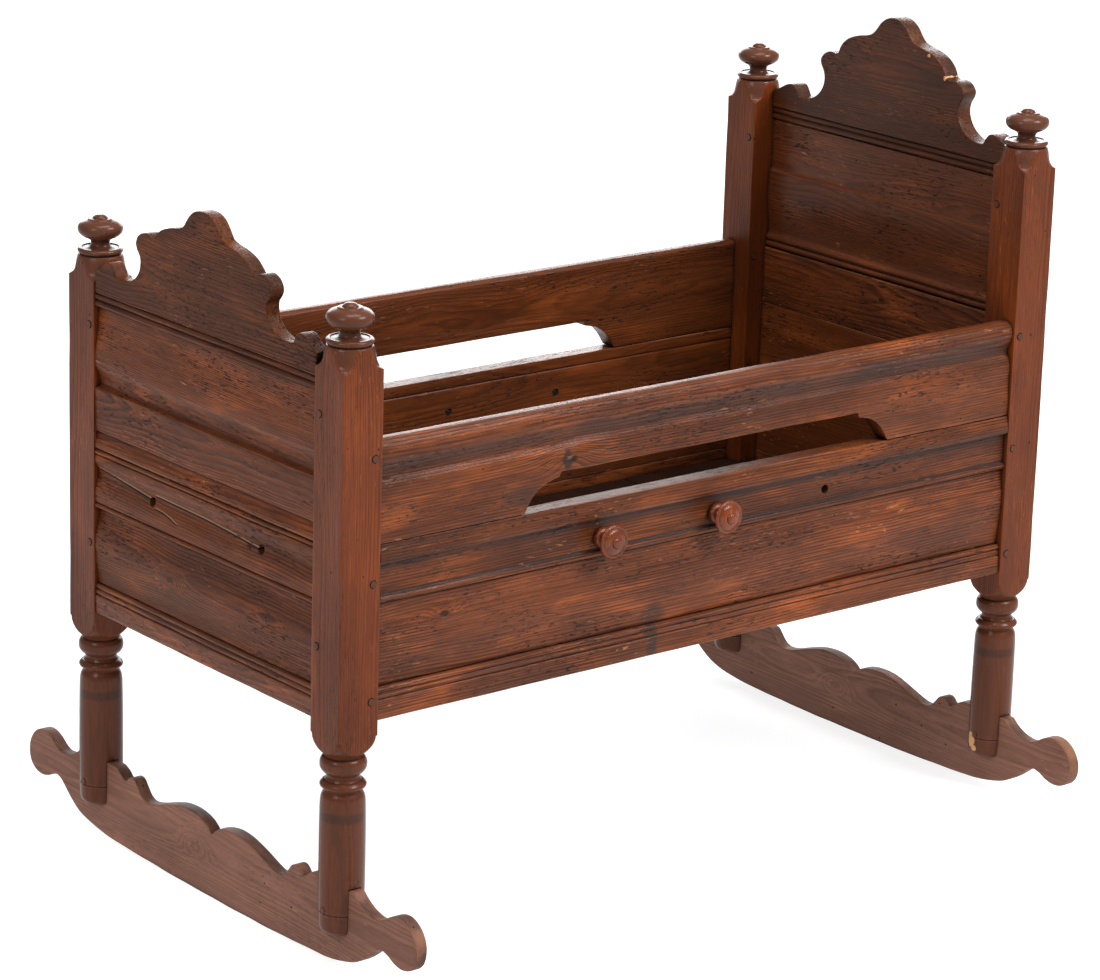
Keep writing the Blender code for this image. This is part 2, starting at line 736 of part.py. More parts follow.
def rocker_half():
    """Right half of a rocker, (distance from the middle, height) in millimetres."""
    upper = [
        (0, 73.6, 1), (4, 77.6), (13, 83.4), (27, 87.4), (44, 89), (64, 87), (86, 80.8), (106, 74),
        (120, 70.4), (129, 70, 1), (137, 73.6), (144, 81), (150, 87.6), (157, 89.6),
        (163, 87.4), (168, 82, 1), (174, 83.6), (181, 89), (190, 93, 1), (262, 92.4, 1),
        (270, 85.6), (282, 79.4), (294, 76.6), (303, 76.4), (312, 80), (323, 87), (336, 91.4),
        (349, 90), (361, 82.4), (368.6, 70.6), (370, 58), (366.4, 46.6), (357.6, 38.8),
        (345, 36), (332, 38.4), (321, 43.4), (312, 45.6, 1), (303, 42.4), (292, 33.8),
        (279, 24.4), (264, 16), (246, 10.6), (226, 6.8), (200, 4.2), (160, 2.4), (110, 0.9),
        (60, 0, 1),
    ]
    return [*smooth(upper), (0, 0)]


def make_rocker(end, material, name):
    turn = Matrix.Translation((end * SPAN_X / 2, 0, 0)) @ slot_turn(Vector((1, 0, 0)))
    obj = prism(in_millimetres(both_halves(rocker_half())), ROCKER_THICKNESS / 2, turn)
    for side in (-1, 1):
        seat_low = (end * SPAN_X / 2 - ROCKER_THICKNESS, side * SPAN_Y / 2 - 26 * MM,
                    ROCKER_TOP_AT_LEG - GAP)
        seat_high = (end * SPAN_X / 2 + ROCKER_THICKNESS, side * SPAN_Y / 2 + 26 * MM,
                     ROCKER_TOP_AT_LEG + 20 * MM)
        obj = boolean(obj, box(seat_low, seat_high), "DIFFERENCE")
        for peg, (start, stop) in named_peg_lines(end, side):
            if peg == "rocker":
                obj = boolean(obj, rod(start, stop, PEG_RADIUS + GAP, PEG_SIDES), "DIFFERENCE")
    return finish(obj, name, material)


# ---------------------------------------------------------------- knobs and floor


def knob_profile():
    """(radius, distance out from the shoulder): domed head, neck, base ring and tenon."""
    return [
        (0, 31), (2.6, 30.7), (4.8, 29.2), (5.6, 27.8), (8.4, 28.4), (13, 27.8), (16.6, 25.4),
        (17.4, 24.2), (18.4, 23.6), (18.6, 21.8), (17, 19.6), (12.4, 16.6), (8.4, 14),
        (7.4, 11.6), (8, 9.2), (10.4, 7.6), (11.6, 5.2), (11.4, 2.6), (9.8, 0.3),
        (5, 0.3), (5, -16), (4.2, -17), (0, -17),
    ]


def make_knob(name, station, material):
    """A turned lacing knob, pushed into its hole in the front mid rail."""
    out = WALLS["front"][0]
    seat = Vector((station, -(OUTER_Y - KNOB_SHOULDER_DEPTH), LACING_HEIGHT))
    turn = out.to_track_quat("Z", "Y").to_matrix().to_4x4()
    obj = lathe(in_millimetres(knob_profile()), Matrix.Translation(seat) @ turn)
    return finish(obj, name, material)


def make_floor(material):
    """Loose cross boards on two ledgers, the end ones notched round the posts."""
    for side, name in ((-1, "ledger_front"), (1, "ledger_back")):
        near = side * (OUTER_Y - INNER_DEPTH["front"] - GAP)
        far = near - side * LEDGER_WIDTH
        low = (-INNER_X + GAP, min(near, far), LEDGER_BOTTOM)
        high = (INNER_X - GAP, max(near, far), LEDGER_BOTTOM + LEDGER_HEIGHT)
        finish(box(low, high), name, material)
    bottom = LEDGER_BOTTOM + LEDGER_HEIGHT + GAP
    pitch = 2 * FLOOR_HALF_LENGTH / FLOOR_BOARDS
    for index in range(FLOOR_BOARDS):
        start = -FLOOR_HALF_LENGTH + index * pitch + FLOOR_BOARD_GAP / 2
        stop = start + pitch - FLOOR_BOARD_GAP
        obj = box((start, -FLOOR_HALF_WIDTH, bottom),
                  (stop, FLOOR_HALF_WIDTH, bottom + FLOOR_THICKNESS))
        if index in (0, FLOOR_BOARDS - 1):
            end = -1 if index == 0 else 1
            obj = notch(obj, end, bottom)
        finish(obj, f"floor_board_{index + 1}", material)


def notch(obj, end, bottom):
    """Cut both corners of an end floor board so that it clears the posts."""
    inner_x = INNER_X - NOTCH_CLEARANCE
    inner_y = INNER_Y - NOTCH_CLEARANCE
    for side in (-1, 1):
        corners_x = sorted((end * inner_x, end * SPAN_X))
        corners_y = sorted((side * inner_y, side * SPAN_Y))
        tool = box((corners_x[0], corners_y[0], bottom - LEDGER_HEIGHT),
                   (corners_x[1], corners_y[1], bottom + 2 * FLOOR_THICKNESS))
        obj = boolean(obj, tool, "DIFFERENCE")
    return obj


def make_frame(post_wood, peg_wood):
    """The four posts with their pegs."""
    for end, end_name, square_top in ((-1, "foot", FOOT_SQUARE_TOP), (1, "head", HEAD_SQUARE_TOP)):
        for side, side_name in ((-1, "front"), (1, "back")):
            label = f"{end_name}_{side_name}"
            finish(post(end, side, square_top), f"post_{label}", post_wood)
            make_pegs(end, side, label, peg_wood)


def make_cradle():
    post_wood = wood("post_wood", (0.16, 0.058, 0.028), 0.42)
    board_wood = wood("board_wood", (0.15, 0.052, 0.024), 0.4)
    rocker_wood = wood("rocker_wood", (0.17, 0.088, 0.06), 0.6)
    knob_wood = wood("knob_wood", (0.2, 0.08, 0.045), 0.35)
    peg_wood = wood("peg_wood", (0.1, 0.048, 0.03), 0.55)
    floor_wood = wood("floor_wood", (0.2, 0.12, 0.07), 0.7)
    make_frame(post_wood, peg_wood)
    for wall in ("front", "back"):
        make_side(wall, board_wood)
    make_end("foot", foot_crest_half(), board_wood)
    make_end("head", head_crest_half(), board_wood)
    make_rocker(-1, rocker_wood, "rocker_foot")
    make_rocker(1, rocker_wood, "rocker_head")
    for name, station in KNOBS.items():
        make_knob(name, station, knob_wood)
    make_floor(floor_wood)


clear_scene()
cradle = new_collection("baby_cradle")
tools = new_collection("tools")
make_cradle()
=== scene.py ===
"""Looks of the joined baby cradle: worn boards, turned posts, knobs and waxed wood, on its frame.

Lengths are in metres unless a name or comment says millimetres. The frame is the CAD's: +X runs
from the foot end to the head end, +Z is up, and the front with its knobs faces -Y.
"""

import math

import bmesh
import bpy
import numpy as np
from mathutils import Matrix, Vector
from mathutils.geometry import delaunay_2d_cdt


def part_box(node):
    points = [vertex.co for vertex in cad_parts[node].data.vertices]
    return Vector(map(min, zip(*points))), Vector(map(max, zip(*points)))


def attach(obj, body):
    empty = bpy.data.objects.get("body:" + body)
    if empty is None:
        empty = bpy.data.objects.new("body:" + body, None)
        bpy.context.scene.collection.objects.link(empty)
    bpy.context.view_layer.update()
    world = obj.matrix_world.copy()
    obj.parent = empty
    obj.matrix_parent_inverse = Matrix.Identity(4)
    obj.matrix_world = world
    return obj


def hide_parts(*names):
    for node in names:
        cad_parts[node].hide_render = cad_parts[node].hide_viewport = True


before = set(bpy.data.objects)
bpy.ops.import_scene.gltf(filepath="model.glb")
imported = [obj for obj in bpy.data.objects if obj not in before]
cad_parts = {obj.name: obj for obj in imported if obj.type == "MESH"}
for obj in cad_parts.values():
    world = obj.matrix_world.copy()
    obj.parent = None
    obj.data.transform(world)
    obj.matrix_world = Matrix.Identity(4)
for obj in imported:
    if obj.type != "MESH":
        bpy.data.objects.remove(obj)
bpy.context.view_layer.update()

MM = 0.001
BODY = "cradle"

# Where the posts stand, read from the frame
POST_LOW, POST_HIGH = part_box("post_head_back")
POST_SIDE = POST_HIGH.x - POST_LOW.x
HALF_POST = POST_SIDE / 2
OUTER_X, OUTER_Y = POST_HIGH.x, POST_HIGH.y
INNER_X, INNER_Y = POST_LOW.x, POST_LOW.y
FINIAL_HEIGHT = 65 * MM
SQUARE_BOTTOM = 258 * MM
GAP = 0.3 * MM

# Heights of the joints between the boards, in millimetres
BOARDS_BOTTOM = 273
PANEL_BOTTOM = 308
SIDE_PANEL_TOP = 398
END_PANEL_TOP = 394
MID_RAIL_TOP = 463
SIDE_TOP = 573
CREST_BOTTOM = 621
HEAD_RISE = 104
SLOT_TOP = 502

# How far the top rail's cove rises past the knot, and depths of the walls' inner faces, likewise
COVE_STEP = 5.0
INNER_DEPTH = {"front": 25, "back": 25, "foot": 20, "head": 24}

# Holes, pegs and the rockers' seats
LACING_HEIGHT = 420 * MM
LACING_STATIONS = (-152 * MM, 9 * MM, 170 * MM)
FOOT_HOLES = (-108 * MM, 96 * MM)
FOOT_HOLE_HEIGHT = 428 * MM
HOLE_RADIUS = 5.3 * MM
PEG_HOLE_RADIUS = 4.7 * MM
PEG_HOLE_DEPTH = 4 * MM
KNOB_PEG_LENGTH = 17 * MM
ROCKER_SLOT = 15.8 * MM
ROCKER_SEAT = 93.5 * MM
SCRIBED_RING = 171 * MM

# Fineness of the outlines, in millimetres
OUTLINE_STEP = 0.25
LOOP_STEP = 4.5
FIELD_STEP = 7.0
TURN_LIMIT = math.radians(11)
CURVE_STEPS = 8
REED_STEPS = 10

# Fineness of the meshes
STATION_STEP = 10 * MM
POINTS_PER_QUARTER = 26
KNOB_SIDES = 48
HOLE_SIDES = 24
PEG_SIDES = 8
SMOOTH_ANGLE = math.radians(38)
LONGEST_MEASURED_EDGE = 4.2 * MM
SHARP_RADIUS = 1.5 * MM
CONVEXITY_PASSES = 2
RIPPLE_WAVES = 7
ABOUT_A_TURN = 6.3

# Arrises of the posts: power of their superellipse, and how far it comes and goes over waves of
# so many millimetres. Then how softly square and turning join, and the widest plain turning
ARRIS_POWER = 72
ARRIS_SLOW, SLOW_WAVE = 24, 41
ARRIS_QUICK, QUICK_WAVE = 14, 13
JOIN_SOFTNESS = 0.35
WIDEST_TURNING = 24.9

# The camera: a long lens from the front and the foot end, slightly tilted
CAMERA_AZIMUTH, CAMERA_ELEVATION, CAMERA_ROLL = (math.radians(v) for v in (-39.24, 16.65, 1.74))
CAMERA_TARGET = Vector((-20.9, 0, 387.7)) * MM
CAMERA_DISTANCE = 4.6945
CAMERA_LENS = 136.04

# Soft lights: where each stands, the height on the cradle's axis that it faces, size and watts
LIGHTS = {
    "key": ((1.5, -3.0, 3.6), 0.4, (1.8, 1.4), 218),
    "fill": ((-3.4, -0.8, 2.6), 0.4, (1.4, 1.4), 48),
    "top": ((0.0, -0.5, 4.2), 0.4, (2.4, 1.6), 118),
    "backdrop": ((2.6, 3.4, 1.7), 0.5, (5.0, 1.8), 165),
}
WORLD_STRENGTH = 0.42
PAPER_REACH = 60
PAPER = {"Base Color": (0.3, 0.3, 0.3, 1), "Roughness": 0.85, "Emission Color": (1, 1, 1, 1),
         "Emission Strength": 0.84}

# Outward normal, distance of the post face and half the space between the posts
WALLS = {
    "front": (Vector((0, -1, 0)), OUTER_Y, INNER_X),
    "back": (Vector((0, 1, 0)), OUTER_Y, INNER_X),
    "foot": (Vector((-1, 0, 0)), OUTER_X, INNER_Y),
    "head": (Vector((1, 0, 0)), OUTER_X, INNER_Y),
}


# ---- shading helpers


class Tree:
    """A short way to write a material's nodes."""

    def __init__(self, name):
        self.material = bpy.data.materials.new(name)
        self.material.use_nodes = True
        self.nodes = self.material.node_tree.nodes
        self.links = self.material.node_tree.links
        self.shader = self.nodes["Principled BSDF"]

    def add(self, kind, inputs, output=0, **settings):
        node = self.nodes.new("ShaderNode" + kind)
        for key, value in settings.items():
            setattr(node, key, value)
        for key, value in inputs.items():
            self.plug(node.inputs[key], value)
        return node.outputs[output]

    def plug(self, socket, value):
        if isinstance(value, bpy.types.NodeSocket):
            self.links.new(value, socket)
        else:
            socket.default_value = value

    def math(self, operation, a, b=0.0, c=0.0):
        return self.add("Math", {0: a, 1: b, 2: c}, operation=operation)

    def times(self, a, b):
        return self.math("MULTIPLY", a, b)

    def plus(self, a, b):
        return self.math("ADD", a, b)

    def minus(self, a, b):
        return self.math("SUBTRACT", a, b)

    def weighted(self, total, *terms):
        """The total plus each term's value times its weight."""
        for value, weight in terms:
            total = self.math("MULTIPLY_ADD", value, weight, total)
        return total

    def larger(self, a, b):
        return self.math("MAXIMUM", a, b)

    def split(self, vector):
        node = self.nodes.new("ShaderNodeSeparateXYZ")
        self.links.new(vector, node.inputs[0])
        return node.outputs

    def noise(self, vector, scale, detail=3.0, roughness=0.55):
        inputs = {"Vector": vector, "Scale": scale, "Detail": detail, "Roughness": roughness}
        return self.add("TexNoise", inputs)

    def stretch(self, vector, scale, offset):
        return self.add("Mapping", {"Vector": vector, "Scale": scale, "Location": offset})

    def grain(self, vector, scale, offset, detail=3.0, roughness=0.55):
        """Noise with its own scale along each axis."""
        return self.noise(self.stretch(vector, scale, offset), 1.0, detail, roughness)

    def remap(self, value, low, high, new_low=0.0, new_high=1.0):
        inputs = {"Value": value, "From Min": low, "From Max": high}
        inputs.update({"To Min": new_low, "To Max": new_high})
        return self.add("MapRange", inputs)

    def mix(self, factor, a, b):
        inputs = {0: factor, 6: a, 7: b}
        return self.add("Mix", inputs, 2, data_type="RGBA")

    def paint(self, under, mask, strength, over):
        """Lay a display colour over a colour where the mask is above 0."""
        return self.mix(self.times(mask, strength), under, rgb(*over))

    def ramp(self, value, stops):
        node = self.nodes.new("ShaderNodeValToRGB")
        elements = node.color_ramp.elements
        while len(elements) < len(stops):
            elements.new(0.5)
        for element, (position, colour) in zip(elements, stops):
            element.position = position
            element.color = colour
        self.plug(node.inputs[0], value)
        return node.outputs[0]


def rgb(red, green, blue):
    """A colour given by its 0 to 255 display values."""
    values = [((v / 255 + 0.055) / 1.055) ** 2.4 for v in (red, green, blue)]
    return (*values, 1.0)


def between(first, second, share):
    """A display colour part of the way from the first to the second."""
    return [a + (b - a) * share for a, b in zip(first, second)]


def wood_space(tree, axes, centre):
    """Object coordinates turned so that x runs along the grain, y across the face, z into it."""
    where = tree.split(tree.add("TexCoord", {}, "Object"))
    parts = [tree.minus(where["XYZ".index(axis)], value) for axis, value in zip(axes, centre)]
    return tree.add("CombineXYZ", dict(enumerate(parts))), parts


def ring_pattern(tree, parts, space, pith, width, seed, knots, figure):
    """0 in the pale early wood of each year ring, rising to 1 in its dark late wood."""
    sway = tree.minus(tree.grain(space, (2.6, 9, 9), (seed, 0, 0), 1.0), 0.5)
    lean = tree.minus(tree.grain(space, (1.3, 1, 1), (0, seed, 5)), 0.5)
    across = tree.weighted(tree.minus(parts[1], pith[0]), (sway, figure))
    into = tree.weighted(tree.minus(parts[2], pith[1]), (lean, 2 * figure))
    squares = tree.weighted(0.0, (across, across), (into, into))
    wobble = tree.grain(space, (9, 70, 70), (0, 0, seed), 2.0)
    radius = tree.weighted(tree.math("SQRT", squares), (wobble, 0.0022))
    cores = []
    for knot in knots:
        bulge, core = knot_shape(tree, parts, knot)
        radius = tree.plus(radius, bulge)
        cores.append(core)
    climate = tree.noise(tree.add("CombineXYZ", {0: radius, 1: seed}), 90.0, 2.0)
    years = tree.weighted(tree.math("DIVIDE", radius, width), (climate, 2.5))
    phase = tree.math("FRACT", years)
    late = tree.remap(phase, 0.15, 0.84)
    fade = tree.remap(phase, 0.84, 1.0, 1.0, 0.0)
    return tree.times(tree.math("POWER", late, 1.6), fade), cores


def oval(tree, parts, centre, half_sizes):
    """Squared distance from a spot on the face, 1 at the edge of an oval round it."""
    total = 0.0
    for part, middle, half in zip(parts, centre, half_sizes):
        share = tree.math("DIVIDE", tree.minus(part, middle), half)
        total = tree.weighted(total, (share, share))
    return total


def knot_shape(tree, parts, knot):
    """How far a knot pushes the rings aside, and the mask of its dark core."""
    knot_along, knot_across, size = knot
    squares = oval(tree, parts, (knot_along, knot_across), (size * 2.2, size))
    fall = tree.math("EXPONENT", tree.times(squares, -1.0))
    core = tree.remap(squares, 0.05, 0.16, 1.0, 0.0)
    return tree.times(fall, size * 0.9), core


# Each finish: display colours of late wood, early wood, bright patches, worn spots, and grime that
# also paints shade in hollows and corners, then roughness, gloss, strength of the pits, plainness
# of the figure, and how pale its rubbed edges are
LOOK = ("late", "early", "bright", "worn", "grime_and_shade", "rough", "gloss", "pits", "plain", "rub")
FINISHES = {
    "board": ((50, 24, 13), (112, 57, 26), (160, 80, 30), (164, 108, 70), (16, 8, 6),
              0.25, 0.16, 1.0, 0.0, 0.5),
    "post": ((70, 29, 11), (113, 53, 18), (138, 65, 20), (150, 92, 56), (20, 10, 7),
             0.31, 0.14, 0.35, 0.25, 0.15),
    "rocker": ((94, 61, 49), (144, 99, 81), (162, 112, 86), (156, 108, 70), (34, 22, 17),
               0.55, 0.2, 0.3, 0.3, 0.7),
    "turned": ((70, 26, 5), (124, 53, 11), (146, 68, 16), (156, 92, 44), (12, 5, 2),
               0.1, 0.32, 0.05, 0.4, 0.15),
    "floor": ((22, 12, 7), (42, 22, 13), (50, 28, 16), (66, 40, 26), (16, 10, 7),
              0.85, 0.02, 0.4, 0.2, 0.3),
    "peg": ((56, 29, 17), (88, 48, 28), (98, 56, 32), (116, 72, 46), (18, 10, 7),
            0.45, 0.25, 0.2, 0.4, 0.3),
}
TURNED_BROWN = (78, 47, 34)
RAW_WOOD = (190, 142, 92)
# grey of the stains, and of the bands of painted shade and sheen along the front rails' mouldings
STAIN_AND_SHADE_GREY = (40, 31, 28)
# pale line beside the cracks: a painted highlight
SCRATCH_HIGHLIGHT = (166, 138, 112)


def old_wood(name, finish, axes, centre, pith=(0.01, 0.06), ring=1.7 * MM, seed=0.0, knots=(),
             figure=0.016, stains_and_shade_bands=(), square=None, scratches=(), chips=(), tint=1.0,
             core_depth=0.85, rim=0.0, **changes):
    """Waxed old softwood with year rings, fibres, pores, worm holes, worn edges, grime, and painted
    shade in hollows and corners and along some mouldings.
    """
    look = dict(zip(LOOK, FINISHES[finish]), **changes)
    for key in ("late", "early", "bright", "worn"):
        look[key] = tuple(value * tint for value in look[key])
    tree = Tree(name)
    space, parts = wood_space(tree, axes, centre)
    rings, cores = ring_pattern(tree, parts, space, pith, ring, seed, knots, figure)
    fibre = tree.grain(space, (26, 800, 800), (seed, 0, 0), 4.0, 0.75)
    streak = tree.grain(space, (6, 240, 240), (0, seed, 0), 4.0, 0.65)
    patch = tree.grain(space, (5, 15, 15), (seed, seed, 0), 4.0, 0.62)
    warm = tree.grain(space, (7, 26, 26), (seed, 8, 0), 3.0, 0.6)
    turned = turned_mask(tree, parts, square) if square else 0.0
    scuffs = scuff_mask(tree, space, seed)
    pores = pore_mask(tree, space, seed)
    worms = worm_mask(tree, space, seed)

    colour = grown_colour(tree, look, rings, fibre, streak, patch, warm)
    if square:
        colour = tree.paint(colour, turned, tree.remap(parts[0], *square, 0.6, 0.86), TURNED_BROWN)
        scuffs = tree.times(scuffs, tree.remap(turned, 0.0, 1.0, 0.7, 0.15))
    if rim:
        colour = rim_colour(tree, look, colour, rim_mask(tree, axes), rim, patch, warm)
    for core in cores:
        colour = tree.paint(colour, core, core_depth, look["grime_and_shade"])
    # stains, and bands of painted shade and grey sheen along mouldings
    for along, across, half_long, half_high, strength in stains_and_shade_bands:
        squares = oval(tree, parts, (along, across), (half_long, half_high))
        ragged = tree.weighted(squares, (streak, 1.2), (1.0, -0.6))
        colour = tree.paint(colour, tree.remap(ragged, 1.1, 0.3), strength, STAIN_AND_SHADE_GREY)
    colour, shade_and_grime_mask = wear_and_shade_colour(tree, look, colour, streak)
    colour = tree.paint(colour, scuffs, 0.6, look["worn"])
    pits = tree.larger(tree.times(pores, 0.8 * look["pits"]), worms)
    for *line, half_width in scratches:
        # the pale line beside each crack is a painted highlight
        highlight_line = scratch_mask(tree, parts, *line, 0.7 * half_width, 1.5 * half_width)
        colour = tree.paint(colour, highlight_line, 0.45, SCRATCH_HIGHLIGHT)
        pits = tree.larger(pits, scratch_mask(tree, parts, *line, half_width, 0.0))
    colour = tree.paint(colour, pits, 0.95, look["grime_and_shade"])
    for chip in chips:
        colour = tree.paint(colour, chip_mask(tree, parts, streak, *chip), 1.0, RAW_WOOD)
    tree.plug(tree.shader.inputs["Base Color"], colour)

    marks = tree.larger(shade_and_grime_mask, pits)
    rough = tree.weighted(look["rough"] - 0.15, (patch, 0.3), (marks, 0.25), (turned, -0.16),
                          (fibre, 0.14))
    tree.plug(tree.shader.inputs["Roughness"], rough)
    tree.shader.inputs["Specular IOR Level"].default_value = look["gloss"]
    height = tree.weighted(0.0, (fibre, 0.4), (rings, 0.22), (streak, 0.5),
                           (pores, -0.5 * look["pits"]), (worms, -1.2))
    height = tree.times(height, tree.weighted(1 - look["plain"], (turned, -0.7)))
    bump = tree.add("Bump", {"Height": height, "Distance": MM, "Strength": 0.85})
    tree.plug(tree.shader.inputs["Normal"], bump)
    return tree.material


def grown_colour(tree, look, rings, fibre, streak, patch, warm):
    """The wood's own colours, with bright and dulled patches, before any wear."""
    seen = tree.remap(patch, 0.36, 0.66, 0.15, 0.75)
    tone = tree.weighted(0.0, (rings, seen), (streak, 0.8), (fibre, 1.25))
    middle = between(look["early"], look["late"], 0.5)
    stops = ((0.0, look["early"]), (0.45, middle), (1.0, look["late"]))
    stops = [(position, rgb(*shade)) for position, shade in stops]
    colour = tree.ramp(tree.remap(tone, 0.78, 1.72), stops)
    brighten = tree.times(tree.remap(warm, 0.5, 0.72), tree.remap(tone, 1.35, 0.85))
    colour = tree.paint(colour, brighten, 0.85, look["bright"])
    dull = between(look["late"], look["grime_and_shade"], 0.4)
    colour = tree.paint(colour, tree.remap(patch, 0.42, 0.74), 0.5, dull)
    return tree.mix(look["plain"], colour, rgb(*middle))


def rim_colour(tree, look, colour, mask, rim, patch, warm):
    """Dark sawn edges with bare patches."""
    dark = tree.remap(warm, 0.56, 0.44, 0.3 * rim, rim)
    colour = tree.paint(colour, mask, dark, between(look["late"], look["grime_and_shade"], 0.55))
    bare = tree.remap(patch, 0.54, 0.68, 0.0, 0.35 * rim)
    return tree.paint(colour, mask, bare, look["worn"])


def wear_and_shade_colour(tree, look, colour, streak):
    """Pale rubbed arrises, grime and painted shade in hollows and in corners that ambient occlusion
    finds, and the mask of that darkening.
    """
    corner = tree.add("AmbientOcclusion", {"Distance": 9 * MM}, 1, samples=6)
    convexity = tree.add("Attribute", {}, 2, attribute_name="convexity")
    open_edge = tree.times(tree.remap(convexity, 0.2, 0.8), tree.remap(corner, 0.6, 0.85))
    rubbed = tree.times(open_edge, tree.remap(streak, 0.42, 0.62))
    colour = tree.paint(colour, rubbed, look["rub"], look["worn"])
    # painted shade: hollows, and corners that ambient occlusion finds, are darkened together with
    # grime
    shade_and_grime_mask = tree.larger(tree.remap(convexity, -0.45, -1.0), tree.remap(corner, 0.76, 0.36))
    return tree.paint(colour, shade_and_grime_mask, 0.92, look["grime_and_shade"]), shade_and_grime_mask


def turned_mask(tree, parts, square):
    """1 where a post is turned and 0 on the four flat faces of its square length."""
    below = tree.remap(parts[0], square[0] - 17 * MM, square[0] - 19 * MM)
    above = tree.remap(parts[0], square[1] + 20 * MM, square[1] + 22 * MM)
    out = tree.larger(tree.math("ABSOLUTE", parts[1]), tree.math("ABSOLUTE", parts[2]))
    cut_back = tree.remap(out, HALF_POST - 0.7 * MM, HALF_POST - 1.2 * MM)
    return tree.larger(cut_back, tree.plus(below, above))


def rim_mask(tree, axes):
    """1 on the sawn edges of a board and 0 on its two faces."""
    normal = tree.split(tree.add("TexCoord", {}, "Normal"))
    facing = tree.math("ABSOLUTE", normal["XYZ".index(axes[2])])
    return tree.remap(facing, 0.85, 0.45)


def pore_mask(tree, space, seed):
    """Short dark dashes and pits along the grain."""
    dashes = tree.grain(space, (95, 420, 420), (0, 0, seed), 2.0, 0.5)
    where = tree.grain(space, (6, 24, 24), (seed, 3, 0), 2.0)
    return tree.times(tree.remap(dashes, 0.58, 0.64), tree.remap(where, 0.42, 0.6))


def scuff_mask(tree, space, seed):
    """Sparse pale scratches, mostly along the grain."""
    dashes = tree.grain(space, (60, 330, 330), (seed, 0, 7), 3.0, 0.6)
    where = tree.grain(space, (8, 18, 18), (2, seed, 6), 2.0)
    return tree.times(tree.remap(dashes, 0.63, 0.68), tree.remap(where, 0.5, 0.66))


def worm_mask(tree, space, seed):
    """Scattered round flight holes about a millimetre and a half across."""
    stretched = tree.stretch(space, (34, 52, 52), (seed, seed, 1))
    distance = tree.add("TexVoronoi", {"Vector": stretched, "Scale": 1.0, "Randomness": 1.0})
    spots = tree.remap(distance, 0.06, 0.04)
    where = tree.grain(space, (5, 16, 16), (1, seed, 2), 1.0)
    return tree.times(spots, tree.remap(where, 0.47, 0.52))


def chip_mask(tree, parts, streak, centre, size):
    """A ragged spot of raw wood where a splinter has come off."""
    squares = oval(tree, parts, centre, size)
    ragged = tree.weighted(squares, (streak, 2.0), (1.0, -1.0))
    return tree.remap(ragged, 1.0, 0.8)


def scratch_mask(tree, parts, start, end, sag, half_width, shift):
    """A thin curved crack from start to end, both (along, across), bowed sideways by sag. Moved by
    shift, the same line serves as its painted highlight.
    """
    along, across = parts[0], parts[1]
    share = tree.remap(along, start[0], end[0])
    straight = tree.remap(along, start[0], end[0], start[1], end[1])
    bow = tree.times(tree.math("SINE", tree.times(share, math.pi)), sag)
    centre = tree.plus(tree.plus(straight, bow), shift)
    apart = tree.math("ABSOLUTE", tree.minus(across, centre))
    inside = tree.math("LESS_THAN", tree.math("ABSOLUTE", tree.minus(share, 0.5)), 0.499)
    return tree.times(tree.remap(apart, half_width, 0.5 * half_width), inside)


# ---- outlines in millimetres


def ease(start, end):
    """Points after start on a half cosine wave to end, where both are (depth, height)."""
    points = []
    for step in range(1, CURVE_STEPS + 1):
        t = step / CURVE_STEPS
        swing = (1 - math.cos(math.pi * t)) / 2
        depth = start[0] + (end[0] - start[0]) * swing
        points.append((depth, start[1] + (end[1] - start[1]) * t))
    return points


def waves(keys):
    points = [keys[0]]
    for start, end in zip(keys, keys[1:]):
        points += ease(start, end)
    return points


def reed(bottom, top, depth, sink):
    """A half-round bead between two quirks."""
    points = []
    for step in range(REED_STEPS + 1):
        angle = math.pi * step / REED_STEPS
        height = (bottom + top) / 2 - math.cos(angle) * (top - bottom) / 2
        points.append((depth + sink * (1 - math.sin(angle)), height))
    return points


def smooth(points, steps=6):
    """Catmull-Rom curve through points. A point with a third value keeps its corner."""
    rounded = []
    last = len(points) - 1
    for index in range(last):
        p1, p2 = points[index], points[index + 1]
        p0 = p1 if index == 0 or p1[2:] else points[index - 1]
        p3 = p2 if index + 1 == last or p2[2:] else points[index + 2]
        for step in range(steps):
            t = step / steps
            rounded.append(tuple(catmull_rom(p0[k], p1[k], p2[k], p3[k], t) for k in (0, 1)))
    rounded.append(points[last][:2])
    return rounded


def catmull_rom(a, b, c, d, t):
    return 0.5 * (2 * b + (c - a) * t + (2 * a - 5 * b + 4 * c - d) * t**2
                  + (3 * b - a - 3 * c + d) * t**3)


def resampled(points):
    """Evenly spaced points along a closed outline."""
    closed_line = np.vstack([points, points[:1]])
    lengths = np.hypot(*np.diff(closed_line, axis=0).T)
    travelled = np.concatenate([[0], np.cumsum(lengths)])
    count = max(8, int(travelled[-1] / OUTLINE_STEP))
    spots = np.arange(count) * travelled[-1] / count
    return np.column_stack([np.interp(spots, travelled, closed_line[:, k]) for k in (0, 1)])


def worn_loop(points, softness=0.75):
    """A closed outline with rubbed corners, thinned to the points that its shape needs."""
    loop = resampled(np.array(points, float))
    reach = int(4 * softness / OUTLINE_STEP)
    offsets = np.arange(-reach, reach + 1)
    weights = np.exp(-0.5 * (offsets * OUTLINE_STEP / softness) ** 2)
    weights /= weights.sum()
    soft = sum(w * np.roll(loop, -int(k), axis=0) for k, w in zip(offsets, weights))
    kept = [0]
    turned = 0.0
    for index in range(1, len(soft)):
        before, here, after = soft[index - 1], soft[index], soft[(index + 1) % len(soft)]
        turned += abs(turn_between(here - before, after - here))
        if turned > TURN_LIMIT or math.dist(soft[kept[-1]], here) > LOOP_STEP:
            kept.append(index)
            turned = 0.0
    return soft[kept]


def turn_between(first, second):
    return math.atan2(first[0] * second[1] - first[1] * second[0], float(first @ second))


